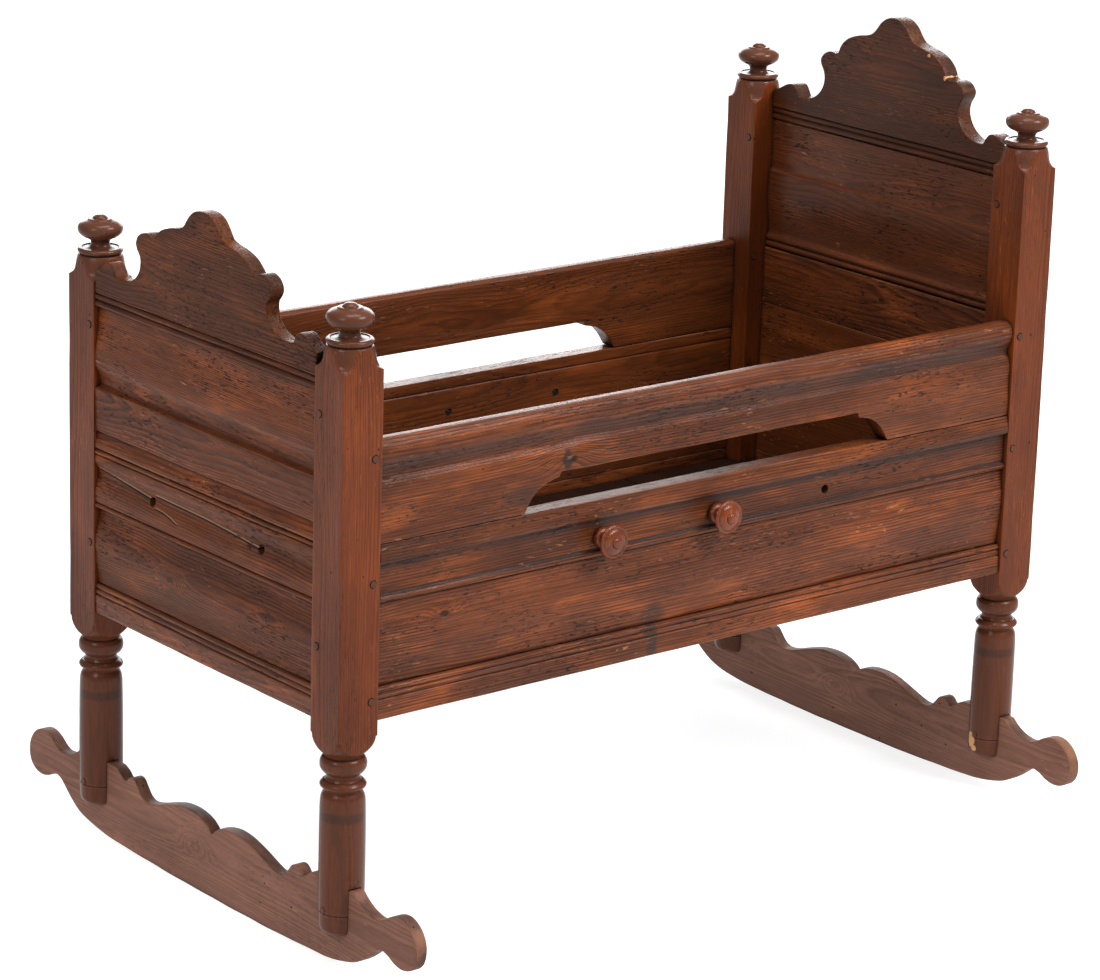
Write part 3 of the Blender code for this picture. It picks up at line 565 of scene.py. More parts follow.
# ---- meshes


def ripple(points, seed, size, amount):
    """A smooth uneven offset for each point: size is the length of its waves."""
    rng = np.random.default_rng(seed)
    total = np.zeros(len(points))
    for _wave in range(RIPPLE_WAVES):
        direction = rng.normal(size=3)
        direction *= (0.6 + 0.9 * rng.random()) / np.linalg.norm(direction)
        total += np.sin(points @ direction * 2 * math.pi / size + rng.random() * ABOUT_A_TURN)
    return total * amount / RIPPLE_WAVES ** 0.5


def link(name, data):
    obj = bpy.data.objects.new(name, data)
    bpy.context.scene.collection.objects.link(obj)
    return obj


def mesh_object(name, verts, faces):
    mesh = bpy.data.meshes.new(name)
    mesh.from_pydata([tuple(v) for v in verts], [], faces)
    return link(name, mesh)


def cut(obj, tools):
    """Take the joined tool solids out of the object."""
    bm = bmesh.new()
    for make, settings in tools:
        make(bm, **settings)
    bmesh.ops.recalc_face_normals(bm, faces=bm.faces)
    cutter = link("tool", bpy.data.meshes.new("tool"))
    bm.to_mesh(cutter.data)
    bm.free()
    modifier = obj.modifiers.new("cut", "BOOLEAN")
    modifier.operation = "DIFFERENCE"
    modifier.solver = "EXACT"
    modifier.object = cutter
    graph = bpy.context.evaluated_depsgraph_get()
    mesh = bpy.data.meshes.new_from_object(obj.evaluated_get(graph))
    obj.modifiers.clear()
    obj.data = mesh
    bpy.data.objects.remove(cutter)


def rod_tool(start, end, radius, sides):
    """A closed rod between two points, as a tool for cut()."""
    turn = (end - start).to_track_quat("Z", "Y").to_matrix().to_4x4()
    return bmesh.ops.create_cone, {
        "cap_ends": True, "segments": sides, "radius1": radius, "radius2": radius,
        "depth": (end - start).length, "matrix": Matrix.Translation((start + end) / 2) @ turn,
    }


def box_tool(low, high):
    """A box between two corners, as a tool for cut()."""
    placed = Matrix.Translation((high + low) / 2) @ Matrix.Diagonal((*(high - low), 1))
    return bmesh.ops.create_cube, {"size": 1, "matrix": placed}


def vertex_vectors(mesh, key):
    values = np.zeros(len(mesh.vertices) * 3)
    mesh.vertices.foreach_get(key, values)
    return values.reshape(-1, 3)


def mark_convexity(mesh):
    """Store how convex each vertex is, from -1 in hollows to 1 on arrises, as a point attribute.
    Its hollow side later darkens creases with grime and painted shade.
    """
    count = len(mesh.vertices)
    places = vertex_vectors(mesh, "co")
    normals = vertex_vectors(mesh, "normal")
    ends = np.zeros(len(mesh.edges) * 2, int)
    mesh.edges.foreach_get("vertices", ends)
    a, b = ends.reshape(-1, 2).T
    away = places[a] - places[b]
    lengths = np.maximum(np.linalg.norm(away, axis=1, keepdims=True), 0.15 * MM)
    away *= (lengths < LONGEST_MEASURED_EDGE) / lengths**2
    bend = np.zeros(count)
    np.add.at(bend, a, (normals[a] * away).sum(1))
    np.add.at(bend, b, -(normals[b] * away).sum(1))
    shared = np.maximum(np.bincount(ends, minlength=count), 1)
    bend = 2 * SHARP_RADIUS * bend / shared
    for _pass in range(CONVEXITY_PASSES):
        near = np.zeros(count)
        np.add.at(near, a, bend[b])
        np.add.at(near, b, bend[a])
        bend = 0.5 * bend + 0.5 * near / shared
    attribute = mesh.attributes.new("convexity", "FLOAT", "POINT")
    attribute.data.foreach_set("value", np.clip(bend, -1, 1).astype(np.float32))


def add_piece(kind, node, verts, faces, material, slot, holes=(), body=BODY):
    """Make the finer piece that replaces a CAD node, with its holes, its measure of convexity, and
    its material.
    """
    obj = mesh_object(f"{kind}_{node}", verts, faces)
    if holes:
        cut(obj, holes)
    mesh = obj.data
    bm = bmesh.new()
    bm.from_mesh(mesh)
    bmesh.ops.remove_doubles(bm, verts=bm.verts, dist=0.01 * MM)
    bmesh.ops.recalc_face_normals(bm, faces=bm.faces)
    bm.to_mesh(mesh)
    bm.free()
    mark_convexity(mesh)
    mesh.shade_smooth()
    mesh.set_sharp_from_angle(angle=SMOOTH_ANGLE)
    mesh.materials.clear()
    mesh.materials.append(material)
    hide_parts(node)
    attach(obj, body)


def grid_faces(rings, around):
    """Quads between neighbouring rings of points, and a cap on each end."""
    faces = []
    for first in range(0, (rings - 1) * around, around):
        for index in range(around):
            a, b = first + index, first + (index + 1) % around
            faces.append((a, b, b + around, a + around))
    last = (rings - 1) * around
    faces.append(tuple(reversed(range(around))))
    faces.append(tuple(range(last, last + around)))
    return faces


def box_centre(node):
    low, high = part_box(node)
    return (low + high) / 2


def wall_point(wall, station, depth, height):
    normal, outer, _inner = WALLS[wall]
    along = Vector((abs(normal.y), abs(normal.x), 0))
    return normal * (outer - depth) + along * station + Vector((0, 0, height))


def swept_board(wall, outline, seed, lift=None, stations=None, uneven=0.42):
    """Vertices and faces of a moulded board between the posts of a wall, slightly uneven."""
    normal, _outer, inner = WALLS[wall]
    reach = inner - GAP
    if stations is None:
        stations = np.linspace(-reach, reach, int(2 * reach / STATION_STEP) + 1)
    loop = worn_loop(outline)
    verts = []
    for station in stations:
        for depth, height in loop:
            if lift:
                height = lift(station, height)
            verts.append(wall_point(wall, station, depth * MM, height * MM))
    places = np.array(verts)
    facing = np.where(loop[:, 0] < loop[:, 0].mean(), 1.0, -1.0)
    push = ripple(places * (1, 1, 3), seed, 0.16, uneven * MM)
    push += ripple(places * (1, 1, 4), seed + 50, 0.05, 0.35 * uneven * MM)
    places += np.array(normal) * (push * np.tile(facing, len(stations)))[:, None]
    return places, grid_faces(len(stations), len(loop))


# ---- posts


# The turning of a post as (radius, height) in millimetres, from the top and the bottom of its
# square length. A third value keeps a corner
FINIAL = [
    (0, 65), (3, 64.9), (5.8, 64), (7.9, 62.2), (8.6, 60.9, 1), (12.4, 60.6), (13.8, 59.4, 1),
    (19.4, 57.5), (23.2, 54.4), (24.8, 50), (23.8, 45.6), (20, 41.8), (14.6, 39.2), (11.4, 37),
    (10.3, 34.6), (10.7, 31.8), (12.6, 29.8), (16.4, 28.6), (20.2, 28.2, 1), (20.8, 29),
    (22.8, 29), (24.6, 27.4), (24.9, 25), (23.4, 23.3, 1), (22.4, 22.4, 1), (24.2, 21.4),
    (25.3, 18.6), (26.3, 14.5), (27.2, 9), (28.2, 4.5), (30.2, 1), (32.8, -1), (34.6, -2, 1),
    (40, -2.6, 1),
]
ANKLE_AND_LEG = [
    (40, 1.4, 1), (33.6, -0.4, 1), (32.9, -5), (30.8, -10), (27, -15), (22.6, -19.4),
    (20.6, -23, 1), (22.8, -24.6), (24.7, -28.6), (24.7, -34.8), (22.2, -39.4), (19.6, -41.6, 1),
    (17.9, -43), (17.8, -46), (19.4, -49, 1), (21.6, -50), (24.1, -52.6, 1), (24.7, -54.4),
    (24, -56.4, 1), (21.6, -58.4), (20.2, -60.6, 1), (21, -62.4), (22.9, -66.4), (23.9, -73),
    (24.2, -84), (24.5, -110), (24.6, -150), (24.5, -180), (24.3, -194, 1), (23.7, -194.7),
    (24.2, -195.4, 1), (24, -206), (23.4, -212.4), (21.6, -215.8), (18, -217), (9, -217), (0, -217),
]
OUTSIDE_SQUARE = 40


def post_profile(square_top):
    """The turning as (radius, height) from the finial to the leg's end, in millimetres."""
    top, bottom = square_top / MM, SQUARE_BOTTOM / MM
    upper = [(r, top + z) for r, z in smooth(FINIAL, 4)]
    lower = [(r, bottom + z) for r, z in smooth(ANKLE_AND_LEG, 4)]
    return upper + [(OUTSIDE_SQUARE, z) for z in np.arange(top - 15, bottom + 6, -8)] + lower


def quarter_angles():
    """Angles across one face of the post, closer together towards its arrises."""
    t = np.linspace(-1, 1, POINTS_PER_QUARTER + 1)[:-1]
    return math.pi / 4 * (0.45 * t + 0.55 * np.sin(math.pi * t / 2))


def post_mesh(centre, square_top, seed):
    """Square bar and turning in one: each ring is the smaller of the two outlines."""
    angles = np.concatenate([quarter_angles() + math.pi / 2 * k for k in range(4)])
    profile = post_profile(square_top)
    slow_phase, quick_phase = np.random.default_rng(seed).random(2) * ABOUT_A_TURN
    verts = []
    for radius, height in profile:
        slow = math.sin(height / SLOW_WAVE + slow_phase)
        quick = math.sin(height / QUICK_WAVE + quick_phase)
        power = ARRIS_POWER + ARRIS_SLOW * slow + ARRIS_QUICK * quick
        total = np.abs(np.cos(angles)) ** power + np.abs(np.sin(angles)) ** power
        bar = HALF_POST / MM / total ** (1 / power)
        if radius > WIDEST_TURNING:
            radius = -JOIN_SOFTNESS * np.logaddexp(-bar / JOIN_SOFTNESS, -radius / JOIN_SOFTNESS)
        for angle, size in zip(angles, np.minimum(radius, bar)):
            verts.append((size * math.cos(angle), size * math.sin(angle), height))
    places = np.array(verts) * MM
    reach = np.linalg.norm(places[:, :2], axis=1, keepdims=True)
    outward = places[:, :2] / np.maximum(reach, 1e-6)
    dents = np.abs(ripple(places * (1, 1, 0.5), seed, 0.07, 0.12 * MM))
    places[:, :2] -= outward * dents[:, None]
    places[:, :2] += centre.xy
    return places, grid_faces(len(profile), len(angles))


def peg_holes(post_name):
    """A tool for the hole round each end of every peg through a post."""
    tools = []
    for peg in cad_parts:
        if peg.startswith("peg_" + post_name[len("post_"):]) and not peg.endswith("_rocker"):
            low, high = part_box(peg)
            axis = max(range(3), key=lambda k: (high - low)[k])
            for sign, corner in ((-1, low), (1, high)):
                spot = (low + high) / 2
                spot[axis] = corner[axis]
                way = Vector((0, 0, 0))
                way[axis] = sign
                tools.append(rod_tool(spot - way * PEG_HOLE_DEPTH, spot + way * 3 * MM,
                                      PEG_HOLE_RADIUS, PEG_SIDES))
    return tools


# Raw spots on one post: (height, x and y from the post's axis) and their half sizes
SPLINTERED_POST = "post_head_front"
SPLINTERS = [((0.059, -0.0225, 0.007), (0.010, 0.006, 0.0075)),
             ((0.050, -0.0215, 0.001), (0.004, 0.006, 0.005))]


def post_wood(name, seed):
    centre = box_centre(name)
    square_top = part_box(name)[1].z - FINIAL_HEIGHT
    return old_wood("wood_" + name, "post", ("Z", "X", "Y"), (0, centre.x, centre.y),
                    pith=(0.03, 0.022), seed=seed, figure=0.01,
                    square=(SQUARE_BOTTOM, square_top),
                    stains_and_shade_bands=[(SCRIBED_RING, 0, 6 * MM, 1.0, 0.5)],
                    chips=SPLINTERS if name == SPLINTERED_POST else ())


def make_post(name, figure_seed):
    low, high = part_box(name)
    centre = (low + high) / 2
    seed = len(name) * 7 + int(high.z * 100)
    turning = post_mesh(centre, high.z - FINIAL_HEIGHT, seed)
    slot = Vector((ROCKER_SLOT / 2, POST_SIDE, 0))
    fork = box_tool(Vector((centre.x, centre.y, low.z - POST_SIDE)) - slot,
                    Vector((centre.x, centre.y, ROCKER_SEAT + GAP)) + slot)
    wood = post_wood(name, figure_seed)
    add_piece("turned", name, *turning, wood, "post_wood", [fork] + peg_holes(name))


# ---- walls


def closed(face, depth):
    """A board's cross-section: its moulded outer face and a flat inner face at depth."""
    return face + [(depth, face[-1][1]), (depth, face[0][1])]


def bottom_rail_face(depth):
    base, top = BOARDS_BOTTOM, PANEL_BOTTOM - 0.2
    face = [(depth, base), (depth, top - 14)]
    face += reed(top - 13, top - 7, depth + 0.2, 2.2)
    face += reed(top - 6.2, top - 0.6, depth + 0.4, 2.2)
    face.append((depth + 3, top))
    return face


def bowed_face(bottom, top, edge_low, crown, edge_high):
    middle = bottom + 0.55 * (top - bottom)
    return waves([(edge_low, bottom + 0.2), (crown, middle), (edge_high, top - 0.2)])


def side_mid_section(depth):
    """A bead, a flat band for the lacing holes, a ledge and, inside, a scribed line."""
    base, top = SIDE_PANEL_TOP + 0.2, MID_RAIL_TOP - 0.2
    line = top - 14
    face = [(6, base)] + reed(base + 0.6, base + 8, 2.8, 3)
    face += [(6.5, base + 9), (6.5, top - 21.5), (1.8, top - 20.8)]
    face += waves([(0.6, top - 18), (0.5, top - 14), (3.4, top)])
    return face + [(depth, top), (depth, line + 1.2), (depth - 1.5, line), (depth, line - 1.2),
                   (depth, base)]


def side_top_section(depth):
    base, top = MID_RAIL_TOP + 0.5, SIDE_TOP
    face = [(3, base), (4, top - 49)]
    face += waves([(4.4, top - 47.4), (9.2, top - 38.5), (2.6, top - 16)])
    for step in range(1, 9):
        angle = math.pi / 2 * step / 8
        face.append((13.6 - 11 * math.cos(angle), top - 16 + 16 * math.sin(angle)))
    return face + [(depth - 4, top - 0.4), (depth, top - 4), (depth, base)]


# Lower edge of the top rail as (distance from the middle, height), with its slot and ogee ends
SLOT_EDGE = [(0, SLOT_TOP), (211, SLOT_TOP), (214, SLOT_TOP - 5.6), (221, SLOT_TOP - 7),
             (231, SLOT_TOP - 9.6), (241, SLOT_TOP - 15), (249, SLOT_TOP - 22.6),
             (255, SLOT_TOP - 31), (259.4, MID_RAIL_TOP + 0.5), (900, MID_RAIL_TOP + 0.5)]


def slot_lift(station, height):
    """Move the lower part of the section up to the slot's edge, and bend the cove at the knot."""
    base, still = MID_RAIL_TOP + 0.5, SIDE_TOP - 50
    rise = float(np.interp(abs(station) / MM, *zip(*SLOT_EDGE))) - base
    if height >= still:
        hump = max(0.0, 1 - ((height - SIDE_TOP + 31) / 19) ** 2)
        past_knot = 1 / (1 + math.exp(-(station / MM + 200) / 7))
        return height + COVE_STEP * hump * (past_knot - 0.5)
    if height <= base + 3:
        return height + rise
    return height + rise * ((still - height) / (still - base - 3))


def slot_stations():
    reach = INNER_X - GAP
    coarse = np.arange(-reach, reach + 1e-6, STATION_STEP)
    ogee = np.concatenate([np.arange(209, 262, 1.0), [210.6, 211.2, 213.8, 214.2]]) * MM
    spots = np.concatenate([coarse, [reach], ogee, -ogee])
    return np.unique(np.round(spots, 5))


def end_mid_face(bottom, top):
    face = [(4, bottom + 0.2)]
    face += reed(bottom + 0.8, bottom + 6.4, 1, 3)
    face += waves([(1.8, bottom + 8), (1.6, bottom + 18), (6.4, top - 27), (1.8, top - 15)])
    face.append((1.8, top - 8.4))
    face += reed(top - 7.4, top - 1.4, 1, 3)
    face.append((4, top - 0.2))
    return face


def end_upper_face(bottom, top):
    face = [(1.4, bottom + 0.2), (1.6, bottom + 4)]
    face += ease((1.6, bottom + 4), (5, bottom + 16))
    face += [(6.4, bottom + 18), (2.4, bottom + 20), (1.6, bottom + 68), (6.6, bottom + 70)]
    face += waves([(8.4, bottom + 72), (8.2, bottom + 77), (1.6, bottom + 97), (8, top - 0.2)])
    return face


def head_upper_inner(bottom, top, depth):
    """Recessed field, a step, a soft bow and two reeds, from the top down."""
    down = [(depth - 5, top - 0.2), (depth - 5, bottom + 98), (depth - 1.4, bottom + 96)]
    bow = waves([(depth - 5, bottom + 18), (depth - 0.4, bottom + 80)])
    reeds = reed(bottom + 1, bottom + 8, 1, 2.4) + reed(bottom + 9, bottom + 16, 1, 2.4)
    down += reversed(bow)
    down += [(depth - sunk, height) for sunk, height in reversed(reeds)]
    return down + [(depth - 3.4, bottom + 0.2)]


def reed_strip(bottom, depth, both_sides):
    """The two reeds along the lower edge of a crest rail."""
    face = [(4, bottom + 0.2)]
    face += reed(bottom + 1, bottom + 8, 1, 2.6) + reed(bottom + 8.8, bottom + 15.8, 1, 2.6)
    face.append((3.8, bottom + 16.6))
    if both_sides:
        return face + [(depth - sunk, height) for sunk, height in reversed(face)]
    return closed(face, depth)


def wall_wood(wall, node, seed):
    """Board wood with its grain along the wall and its pith behind the middle of the board."""
    axes = ("X", "Z", "Y") if wall in ("front", "back") else ("Y", "Z", "X")
    centre = box_centre(node)
    places = [centre["XYZ".index(axis)] for axis in axes]
    return old_wood("wood_" + node, "board", axes, places, seed=seed * 1.7,
                    **BOARD_FIGURE.get(node, {}))


def make_board(wall, part, outline, seed, holes=(), **sweep):
    node = f"{wall}_{part}"
    board = swept_board(wall, outline, seed, **sweep)
    add_piece("moulded", node, *board, wall_wood(wall, node, seed), "board_wood", holes)


def hole_tools(wall, stations, height):
    """Round holes through a wall's board, one at each station."""
    beyond = WALLS[wall][0] * 9 * MM
    tools = []
    for station in stations:
        outside = wall_point(wall, station, 0, height) + beyond
        inside = wall_point(wall, station, 26 * MM, height) - beyond
        tools.append(rod_tool(outside, inside, HOLE_RADIUS, HOLE_SIDES))
    return tools


# Pith, ring width, knots, stains, bands of painted shade and sheen, and cracks of the boards
# whose figure shows in particular
BOARD_FIGURE = {
    "front_bottom_rail": {"pith": (0.05, 0.03), "tint": 1.08, "ring": 2.8 * MM,
        "stains_and_shade_bands": [(-0.078, 0, 0.009, 0.03, 0.75)]},
    "front_lower_panel": {"pith": (-0.07, 0.03), "tint": 1.08, "ring": 3 * MM, "figure": 0.014,
        "knots": [(-0.36, 0.02, 0.009)], "stains_and_shade_bands": [(-0.075, -0.035, 0.02, 0.016, 0.6)]},
    "front_top_rail": {"pith": (0.075, 0.03), "ring": 3 * MM, "figure": 0.012,
        "knots": [(-0.2, -0.004, 0.014)],
        "stains_and_shade_bands": [(-0.203, -0.004, 0.006, 0.013, 0.9), (-0.262, -0.034, 0.03, 0.012, 0.55),
                   # the long band along the cove is painted shade and grey sheen, with some grime
                   (0.0, 0.024, 0.75, 0.011, 0.55)]},
    "front_mid_rail": {"pith": (0.06, 0.03), "tint": 0.93, "ring": 2.8 * MM, "figure": 0.008,
        # both bands are painted shade: the dark quirk above the lower bead, and the shadow under
        # the nosing
        "stains_and_shade_bands": [(0.0, -0.0235, 0.9, 0.0024, 0.8), (0.0, 0.0065, 0.9, 0.005, 0.6)]},
    "foot_lower_panel": {"pith": (0.01, -0.06), "tint": 0.97, "plain": 0.15, "gloss": 0.09,
        "knots": [(0.06, 0.0, 0.01)], "core_depth": 0.4},
    "foot_mid_rail": {"tint": 1.04, "plain": 0.15, "gloss": 0.09,
        "scratches": [((0.2, 0.011), (0.1, 0.001), -0.5 * MM, 1.3 * MM),
                      ((0.09, -0.007), (0.045, -0.014), 2 * MM, 1.0 * MM),
                      ((0.092, 0.006), (-0.104, -0.001), 1.2 * MM, 1.2 * MM)]},
    "foot_upper_panel": {"pith": (-0.02, -0.07), "tint": 1.06, "plain": 0.15, "gloss": 0.1},
    "foot_crest_rail": {"pith": (-0.02, -0.07), "tint": 0.82, "plain": 0.2, "gloss": 0.07,
        "rim": 0.5},
    "head_upper_panel": {"pith": (0.02, 0.06), "plain": 0.45},
    "head_crest_rail": {"pith": (0.02, 0.06), "tint": 0.78, "plain": 0.35, "rim": 0.5,
        "chips": [((-0.062, 0.044), (0.0025, 0.002)), ((-0.09, 0.022), (0.002, 0.003))]},
    "head_lower_panel": {"tint": 1.02, "plain": 0.45},
    "back_top_rail": {"plain": 0.5},
    "back_mid_rail": {"plain": 0.5},
    "back_lower_panel": {"plain": 0.45},
}


def make_side(wall, seed):
    depth = INNER_DEPTH[wall]
    make_board(wall, "bottom_rail", closed(bottom_rail_face(3), depth), seed)
    face = bowed_face(PANEL_BOTTOM, SIDE_PANEL_TOP, 9, 4.2, 7.6)
    make_board(wall, "lower_panel", closed(face, depth), seed + 1)
    holes = hole_tools(wall, LACING_STATIONS, LACING_HEIGHT)
    make_board(wall, "mid_rail", side_mid_section(depth), seed + 2, holes)
    make_board(wall, "top_rail", side_top_section(depth), seed + 3, lift=slot_lift,
               stations=slot_stations(), uneven=0.7)


def make_end(wall, crest, seed):
    rise = HEAD_RISE if wall == "head" else 0
    levels = [BOARDS_BOTTOM, PANEL_BOTTOM, END_PANEL_TOP + rise, MID_RAIL_TOP + rise,
              CREST_BOTTOM + rise]
    depth = INNER_DEPTH[wall]
    make_board(wall, "bottom_rail", closed(bottom_rail_face(1.6), depth), seed)
    face = bowed_face(levels[1], levels[2], 5, 1.6, 8)
    make_board(wall, "lower_panel", closed(face, depth), seed + 1)
    holes = hole_tools(wall, FOOT_HOLES if wall == "foot" else (), FOOT_HOLE_HEIGHT)
    make_board(wall, "mid_rail", closed(end_mid_face(*levels[2:4]), depth), seed + 2, holes)
    face = end_upper_face(*levels[3:])
    section = closed(face, depth - 1.6)
    if wall == "head":
        section = face + head_upper_inner(*levels[3:], depth)
    make_board(wall, "upper_panel", section, seed + 3)
    make_crest(wall, crest, levels[4], depth - 1.6, seed + 4)


# ---- scrolled boards


# Right halves of the sawn outlines as (distance from the middle, height) in millimetres
FOOT_CREST = [
    (0, 766, 1), (11, 764.8), (21, 760), (29, 752), (36, 743, 1), (47, 739.4), (62, 736.6),
    (77, 731.4), (88, 723.4), (94, 717.4, 1), (103, 721.6), (112, 721.4), (121, 716.6),
    (125.4, 708.4), (123, 700.8), (117.4, 694), (117, 684.6), (120.4, 676), (129, 667.6),
    (141, 662.8), (154, 661.4), (164, 663.4, 1), (168, 670.6), (175, 675.4), (184, 674),
    (191, 668, 1), (204.2, 661),
]
HEAD_CREST = [
    (0, 881.4, 1), (11, 879.4), (21, 873), (28, 864.4, 1), (35, 857.6), (45, 854), (60, 851),
    (76, 845), (87, 835.6), (92, 825.4, 1), (98, 823.4), (107, 824.4), (116, 821), (121.8, 814),
    (121, 807), (116, 799), (114.4, 790), (117, 780), (124, 770.6), (135, 763.4), (147, 760),
    (157, 760.4, 1), (162, 768.4), (168, 773.4), (178, 773), (190, 767, 1), (204.2, 760),
]
ROCKER = [
    (0, 73.6, 1), (4, 77.6), (13, 83.4), (27, 87.4), (44, 89), (64, 87), (86, 80.8), (106, 74),
    (120, 70.4), (129, 70, 1), (137, 73.6), (144, 81), (150, 87.6), (157, 89.6), (163, 87.4),
    (168, 82, 1), (174, 83.6), (181, 89), (190, 93, 1), (262, 92.4, 1), (270, 85.6), (282, 79.4),
    (294, 76.6), (303, 76.4), (312, 80), (323, 87), (336, 91.4), (349, 90), (361, 82.4),
    (368.6, 70.6), (370, 58), (366.4, 46.6), (357.6, 38.8), (345, 36), (332, 38.4), (321, 43.4),
    (312, 45.6, 1), (303, 42.4), (292, 33.8), (279, 24.4), (264, 16), (246, 10.6), (226, 6.8),
    (200, 4.2), (160, 2.4), (110, 0.9), (60, 0, 1), (0, 0),
]


def distance_to_loop(points, loop):
    """Distance of each point from the nearest side of a closed outline."""
    sides = np.roll(loop, -1, axis=0) - loop
    lengths = np.maximum((sides**2).sum(axis=1), 1e-9)
    away = points[:, None] - loop[None]
    share = ((away * sides).sum(axis=2) / lengths).clip(0, 1)
    gap = away - share[..., None] * sides
    return np.sqrt((gap**2).sum(axis=2)).min(axis=1)


def inward_normals(loop):
    tangent = np.roll(loop, -1, axis=0) - np.roll(loop, 1, axis=0)
    tangent /= np.linalg.norm(tangent, axis=1, keepdims=True)
    turned = np.roll(loop, -1, axis=0)
    area = (loop[:, 0] * turned[:, 1] - turned[:, 0] * loop[:, 1]).sum()
    return np.column_stack([-tangent[:, 1], tangent[:, 0]]) * np.sign(area)


def face_points(loop, radius):
    """Points inside an outline: rows that follow its edge, and a coarse grid in the middle."""
    inward = inward_normals(loop)
    clouds = []
    for share in (0.08, 0.3, 0.62, 1.0, 2.0):
        row = loop + inward * radius * share
        clouds.append(row[distance_to_loop(row, loop) > 0.96 * radius * share])
    (left, bottom), (right, top) = loop.min(axis=0), loop.max(axis=0)
    xs, ys = np.meshgrid(np.arange(left, right, FIELD_STEP), np.arange(bottom, top, FIELD_STEP))
    field = np.column_stack([xs.ravel() + 0.5 * np.sin(ys.ravel()), ys.ravel()])
    clouds.append(field[winding(field, loop) & (distance_to_loop(field, loop) > 3 * radius)])
    return np.vstack(clouds)


def winding(points, loop):
    """Whether each point lies inside a closed outline."""
    inside = np.zeros(len(points), bool)
    for (x0, y0), (x1, y1) in zip(loop, np.roll(loop, -1, axis=0)):
        if y0 == y1:
            continue
        crosses = (points[:, 1] < y0) != (points[:, 1] < y1)
        at = x0 + (points[:, 1] - y0) / (y1 - y0) * (x1 - x0)
        inside ^= crosses & (points[:, 0] < at)
    return inside


def sawn_board(outline, near, far, seed, place, radius=1.3):
    """Vertices and faces of a flat board sawn to an outline, with rubbed edges."""
    loop = worn_loop(outline, softness=0.6)
    cloud = np.vstack([loop, face_points(loop, radius)])
    border = list(range(len(loop)))
    spots, _edges, faces, origins, *_rest = delaunay_2d_cdt(
        [Vector(point) for point in cloud], [], [border], 1, 1e-5)
    flat = np.array([tuple(spot) for spot in spots])
    depth = distance_to_loop(flat, loop)
    spread = np.column_stack([flat, np.zeros(len(flat))]) * MM
    rubbed = radius * (1 + 0.35 * ripple(spread, seed, 0.06, 1.0)).clip(0.4, 1.9)
    short = (rubbed - depth).clip(0, None)
    drop = rubbed - np.sqrt((rubbed**2 - short**2).clip(0, None))
    swell = ripple(spread, seed + 3, 0.11, 0.22) * (depth / 6).clip(0, 1)
    top = [place(x, y, near + d - w) for (x, y), d, w in zip(flat, drop, swell.clip(None, 0))]
    bottom = [place(x, y, far - d) for (x, y), d in zip(flat, drop)]
    count = len(flat)
    rim = {origin: index for index, given in enumerate(origins) for origin in given}
    faces = [tuple(face) for face in faces]
    faces += [tuple(index + count for index in reversed(face)) for face in faces]
    for start in border:
        a, b = rim[start], rim[(start + 1) % len(border)]
        faces.append((a, b, b + count, a + count))
    return top + bottom, faces


def make_crest(wall, half, bottom, depth, seed):
    """The scrolled field and the reeds of a crest rail, in one mesh."""
    node = f"{wall}_crest_rail"
    curve = smooth(half)
    reach = (WALLS[wall][2] - GAP) / MM
    field = [(-x, y) for x, y in reversed(curve[1:])] + curve
    field += [(reach, bottom + 16.2), (-reach, bottom + 16.2)]

    def place(x, y, level):
        return wall_point(wall, x * MM, level * MM, y * MM)

    verts, faces = sawn_board(field, 1.6, depth, seed, place)
    strip, strip_faces = swept_board(wall, reed_strip(bottom, depth, wall == "head"), seed)
    faces += [tuple(index + len(verts) for index in face) for face in strip_faces]
    add_piece("sawn", node, [*verts, *strip], faces, wall_wood(wall, node, seed), "board_wood")


def make_rocker(name, figure_seed, seed):
    low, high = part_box(name)
    centre = (low + high) / 2
    curve = smooth(ROCKER)
    outline = [(-x, y) for x, y in reversed(curve[1:-1])] + curve

    def place(x, y, level):
        return Vector((low.x + level * MM, x * MM, y * MM))

    board = sawn_board(outline, 0.0, (high.x - low.x) / MM, seed, place, 1.7)
    wood = old_wood("wood_" + name, "rocker", ("Y", "Z", "X"), (0, centre.z, centre.x),
                    pith=(0.01, -0.05), ring=2.4 * MM, seed=figure_seed,
                    knots=[(0.03, 0.004, 0.011)], core_depth=0.12, rim=0.85)
    add_piece("sawn", name, *board, wood, "rocker_wood")


# ---- knobs, pegs and floor


# Lacing knob as (radius, distance out from its shoulder) in millimetres
KNOB = [
    (0, 30.9), (2.6, 30.7), (4.6, 29.9), (5.8, 28.5), (6.1, 27.5, 1), (7, 27.7), (9.8, 27.1),
    (12.8, 25.7), (14.6, 24.1, 1), (15.4, 24.2), (16.6, 24.6), (17.8, 24.1), (18.6, 22.8),
    (18.6, 21.4), (17.2, 19.8, 1), (15.4, 18.6), (12.2, 16.8), (9.4, 15), (7.9, 13), (7.5, 11.2),
    (7.9, 9.6, 1), (9.2, 9.2), (10.6, 8), (11.5, 6), (11.6, 4), (10.9, 1.8), (9.8, 0.4, 1),
    (5, 0.3, 1), (5, -8), (5, -16.2), (4.2, -17), (0, -17),
]


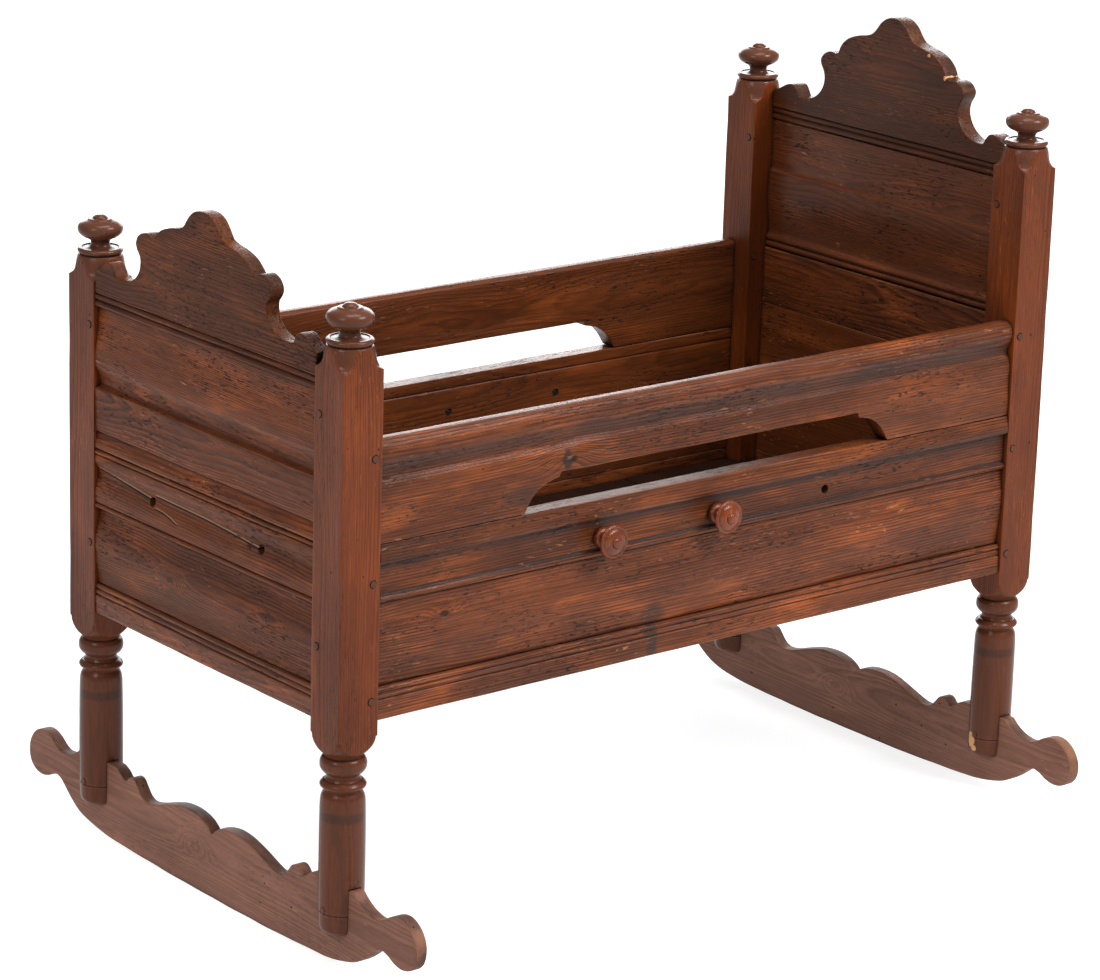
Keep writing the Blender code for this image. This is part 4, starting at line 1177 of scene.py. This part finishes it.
def make_knob(name, seed):
    """A turned knob on the axis of its CAD node."""
    centre = box_centre(name)
    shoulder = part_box(name)[1].y - KNOB_PEG_LENGTH
    profile = smooth(KNOB, 4)
    verts = []
    for radius, out in profile:
        for angle in np.arange(KNOB_SIDES) * 2 * math.pi / KNOB_SIDES:
            x = centre.x + radius * MM * math.cos(angle)
            z = centre.z + radius * MM * math.sin(angle)
            verts.append((x, shoulder - out * MM, z))
    faces = grid_faces(len(profile), KNOB_SIDES)
    wood = old_wood("wood_" + name, "turned", ("Z", "X", "Y"), (centre.z, centre.x, centre.y),
                    pith=(0.02, 0.01), seed=seed)
    add_piece("turned", name, verts, faces, wood, "knob_wood", body=name)


def dress_cad(names, material, width):
    """Give CAD nodes their material, and round their arrises with a bevel of this width."""
    for name in names:
        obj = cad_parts[name]
        obj.data.materials.clear()
        obj.data.materials.append(material)
        bevel = obj.modifiers.new("rubbed", "BEVEL")
        bevel.width = width
        bevel.segments = 2
        bevel.limit_method = "ANGLE"
        bevel.angle_limit = math.radians(30)
        bevel.harden_normals = False


# ---- studio


def make_camera():
    """The viewing angle, with the camera rolled a little about its own axis."""
    data = bpy.data.cameras.new("camera")
    data.sensor_fit = "HORIZONTAL"
    data.lens = CAMERA_LENS
    data.clip_end = PAPER_REACH
    camera = link("camera", data)
    azimuth = Matrix.Rotation(CAMERA_AZIMUTH, 4, "Z")
    tilt = Matrix.Rotation(math.pi / 2 - CAMERA_ELEVATION, 4, "X")
    roll = Matrix.Rotation(CAMERA_ROLL, 4, "Z")
    back = Matrix.Translation((0, 0, CAMERA_DISTANCE))
    camera.matrix_world = Matrix.Translation(CAMERA_TARGET) @ azimuth @ tilt @ roll @ back
    bpy.context.scene.camera = camera


def make_lights():
    for name, (place, height, size, watts) in LIGHTS.items():
        data = bpy.data.lights.new(name, "AREA")
        data.shape = "RECTANGLE"
        data.size, data.size_y = size
        data.energy = watts
        light = link(name, data)
        light.location = place
        away = Vector(place) - Vector((0, 0, height))
        light.rotation_euler = away.to_track_quat("Z", "Y").to_euler()
        light.visible_camera = False


def make_studio():
    """White surroundings and a wide pale floor."""
    world = bpy.data.worlds.new("studio")
    bpy.context.scene.world = world
    world.use_nodes = True
    background = world.node_tree.nodes["Background"]
    background.inputs["Color"].default_value = (1, 1, 1, 1)
    background.inputs["Strength"].default_value = WORLD_STRENGTH
    reach = PAPER_REACH
    corners = [(-reach, -reach, 0), (reach, -reach, 0), (reach, reach, 0), (-reach, reach, 0)]
    floor = mesh_object("studio_floor", corners, [(0, 1, 2, 3)])
    tree = Tree("studio_paper")
    for key, value in PAPER.items():
        tree.shader.inputs[key].default_value = value
    floor.data.materials.append(tree.material)
    bpy.context.scene.view_settings.view_transform = "Standard"


# ---- the whole cradle


def nodes_with(start, end=""):
    return [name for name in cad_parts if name.startswith(start) and name.endswith(end)]


def make_cradle():
    for index, name in enumerate(sorted(nodes_with("post_"))):
        make_post(name, 3.1 * index)
    make_side("front", 11)
    make_side("back", 21)
    make_end("foot", FOOT_CREST, 31)
    make_end("head", HEAD_CREST, 41)
    make_rocker("rocker_foot", 4.4, 5)
    make_rocker("rocker_head", 9.2, 6)
    make_knob("knob_left", 0)
    make_knob("knob_middle", 1)
    low_pegs = nodes_with("peg_", "_rocker")
    dress_cad(low_pegs, post_wood("post_foot_front", 3.1), 0.5 * MM)
    pegs = [name for name in nodes_with("peg_") if name not in low_pegs]
    dress_cad(pegs, old_wood("wood_pegs", "peg", ("X", "Y", "Z"), (0, 0, 0)), 0.7 * MM)
    boards = nodes_with("floor_") + nodes_with("ledger_")
    dress_cad(boards, old_wood("wood_floor", "floor", ("Y", "X", "Z"), (0, 0, 0.3)), 0.9 * MM)


make_camera()
make_lights()
make_studio()
make_cradle()
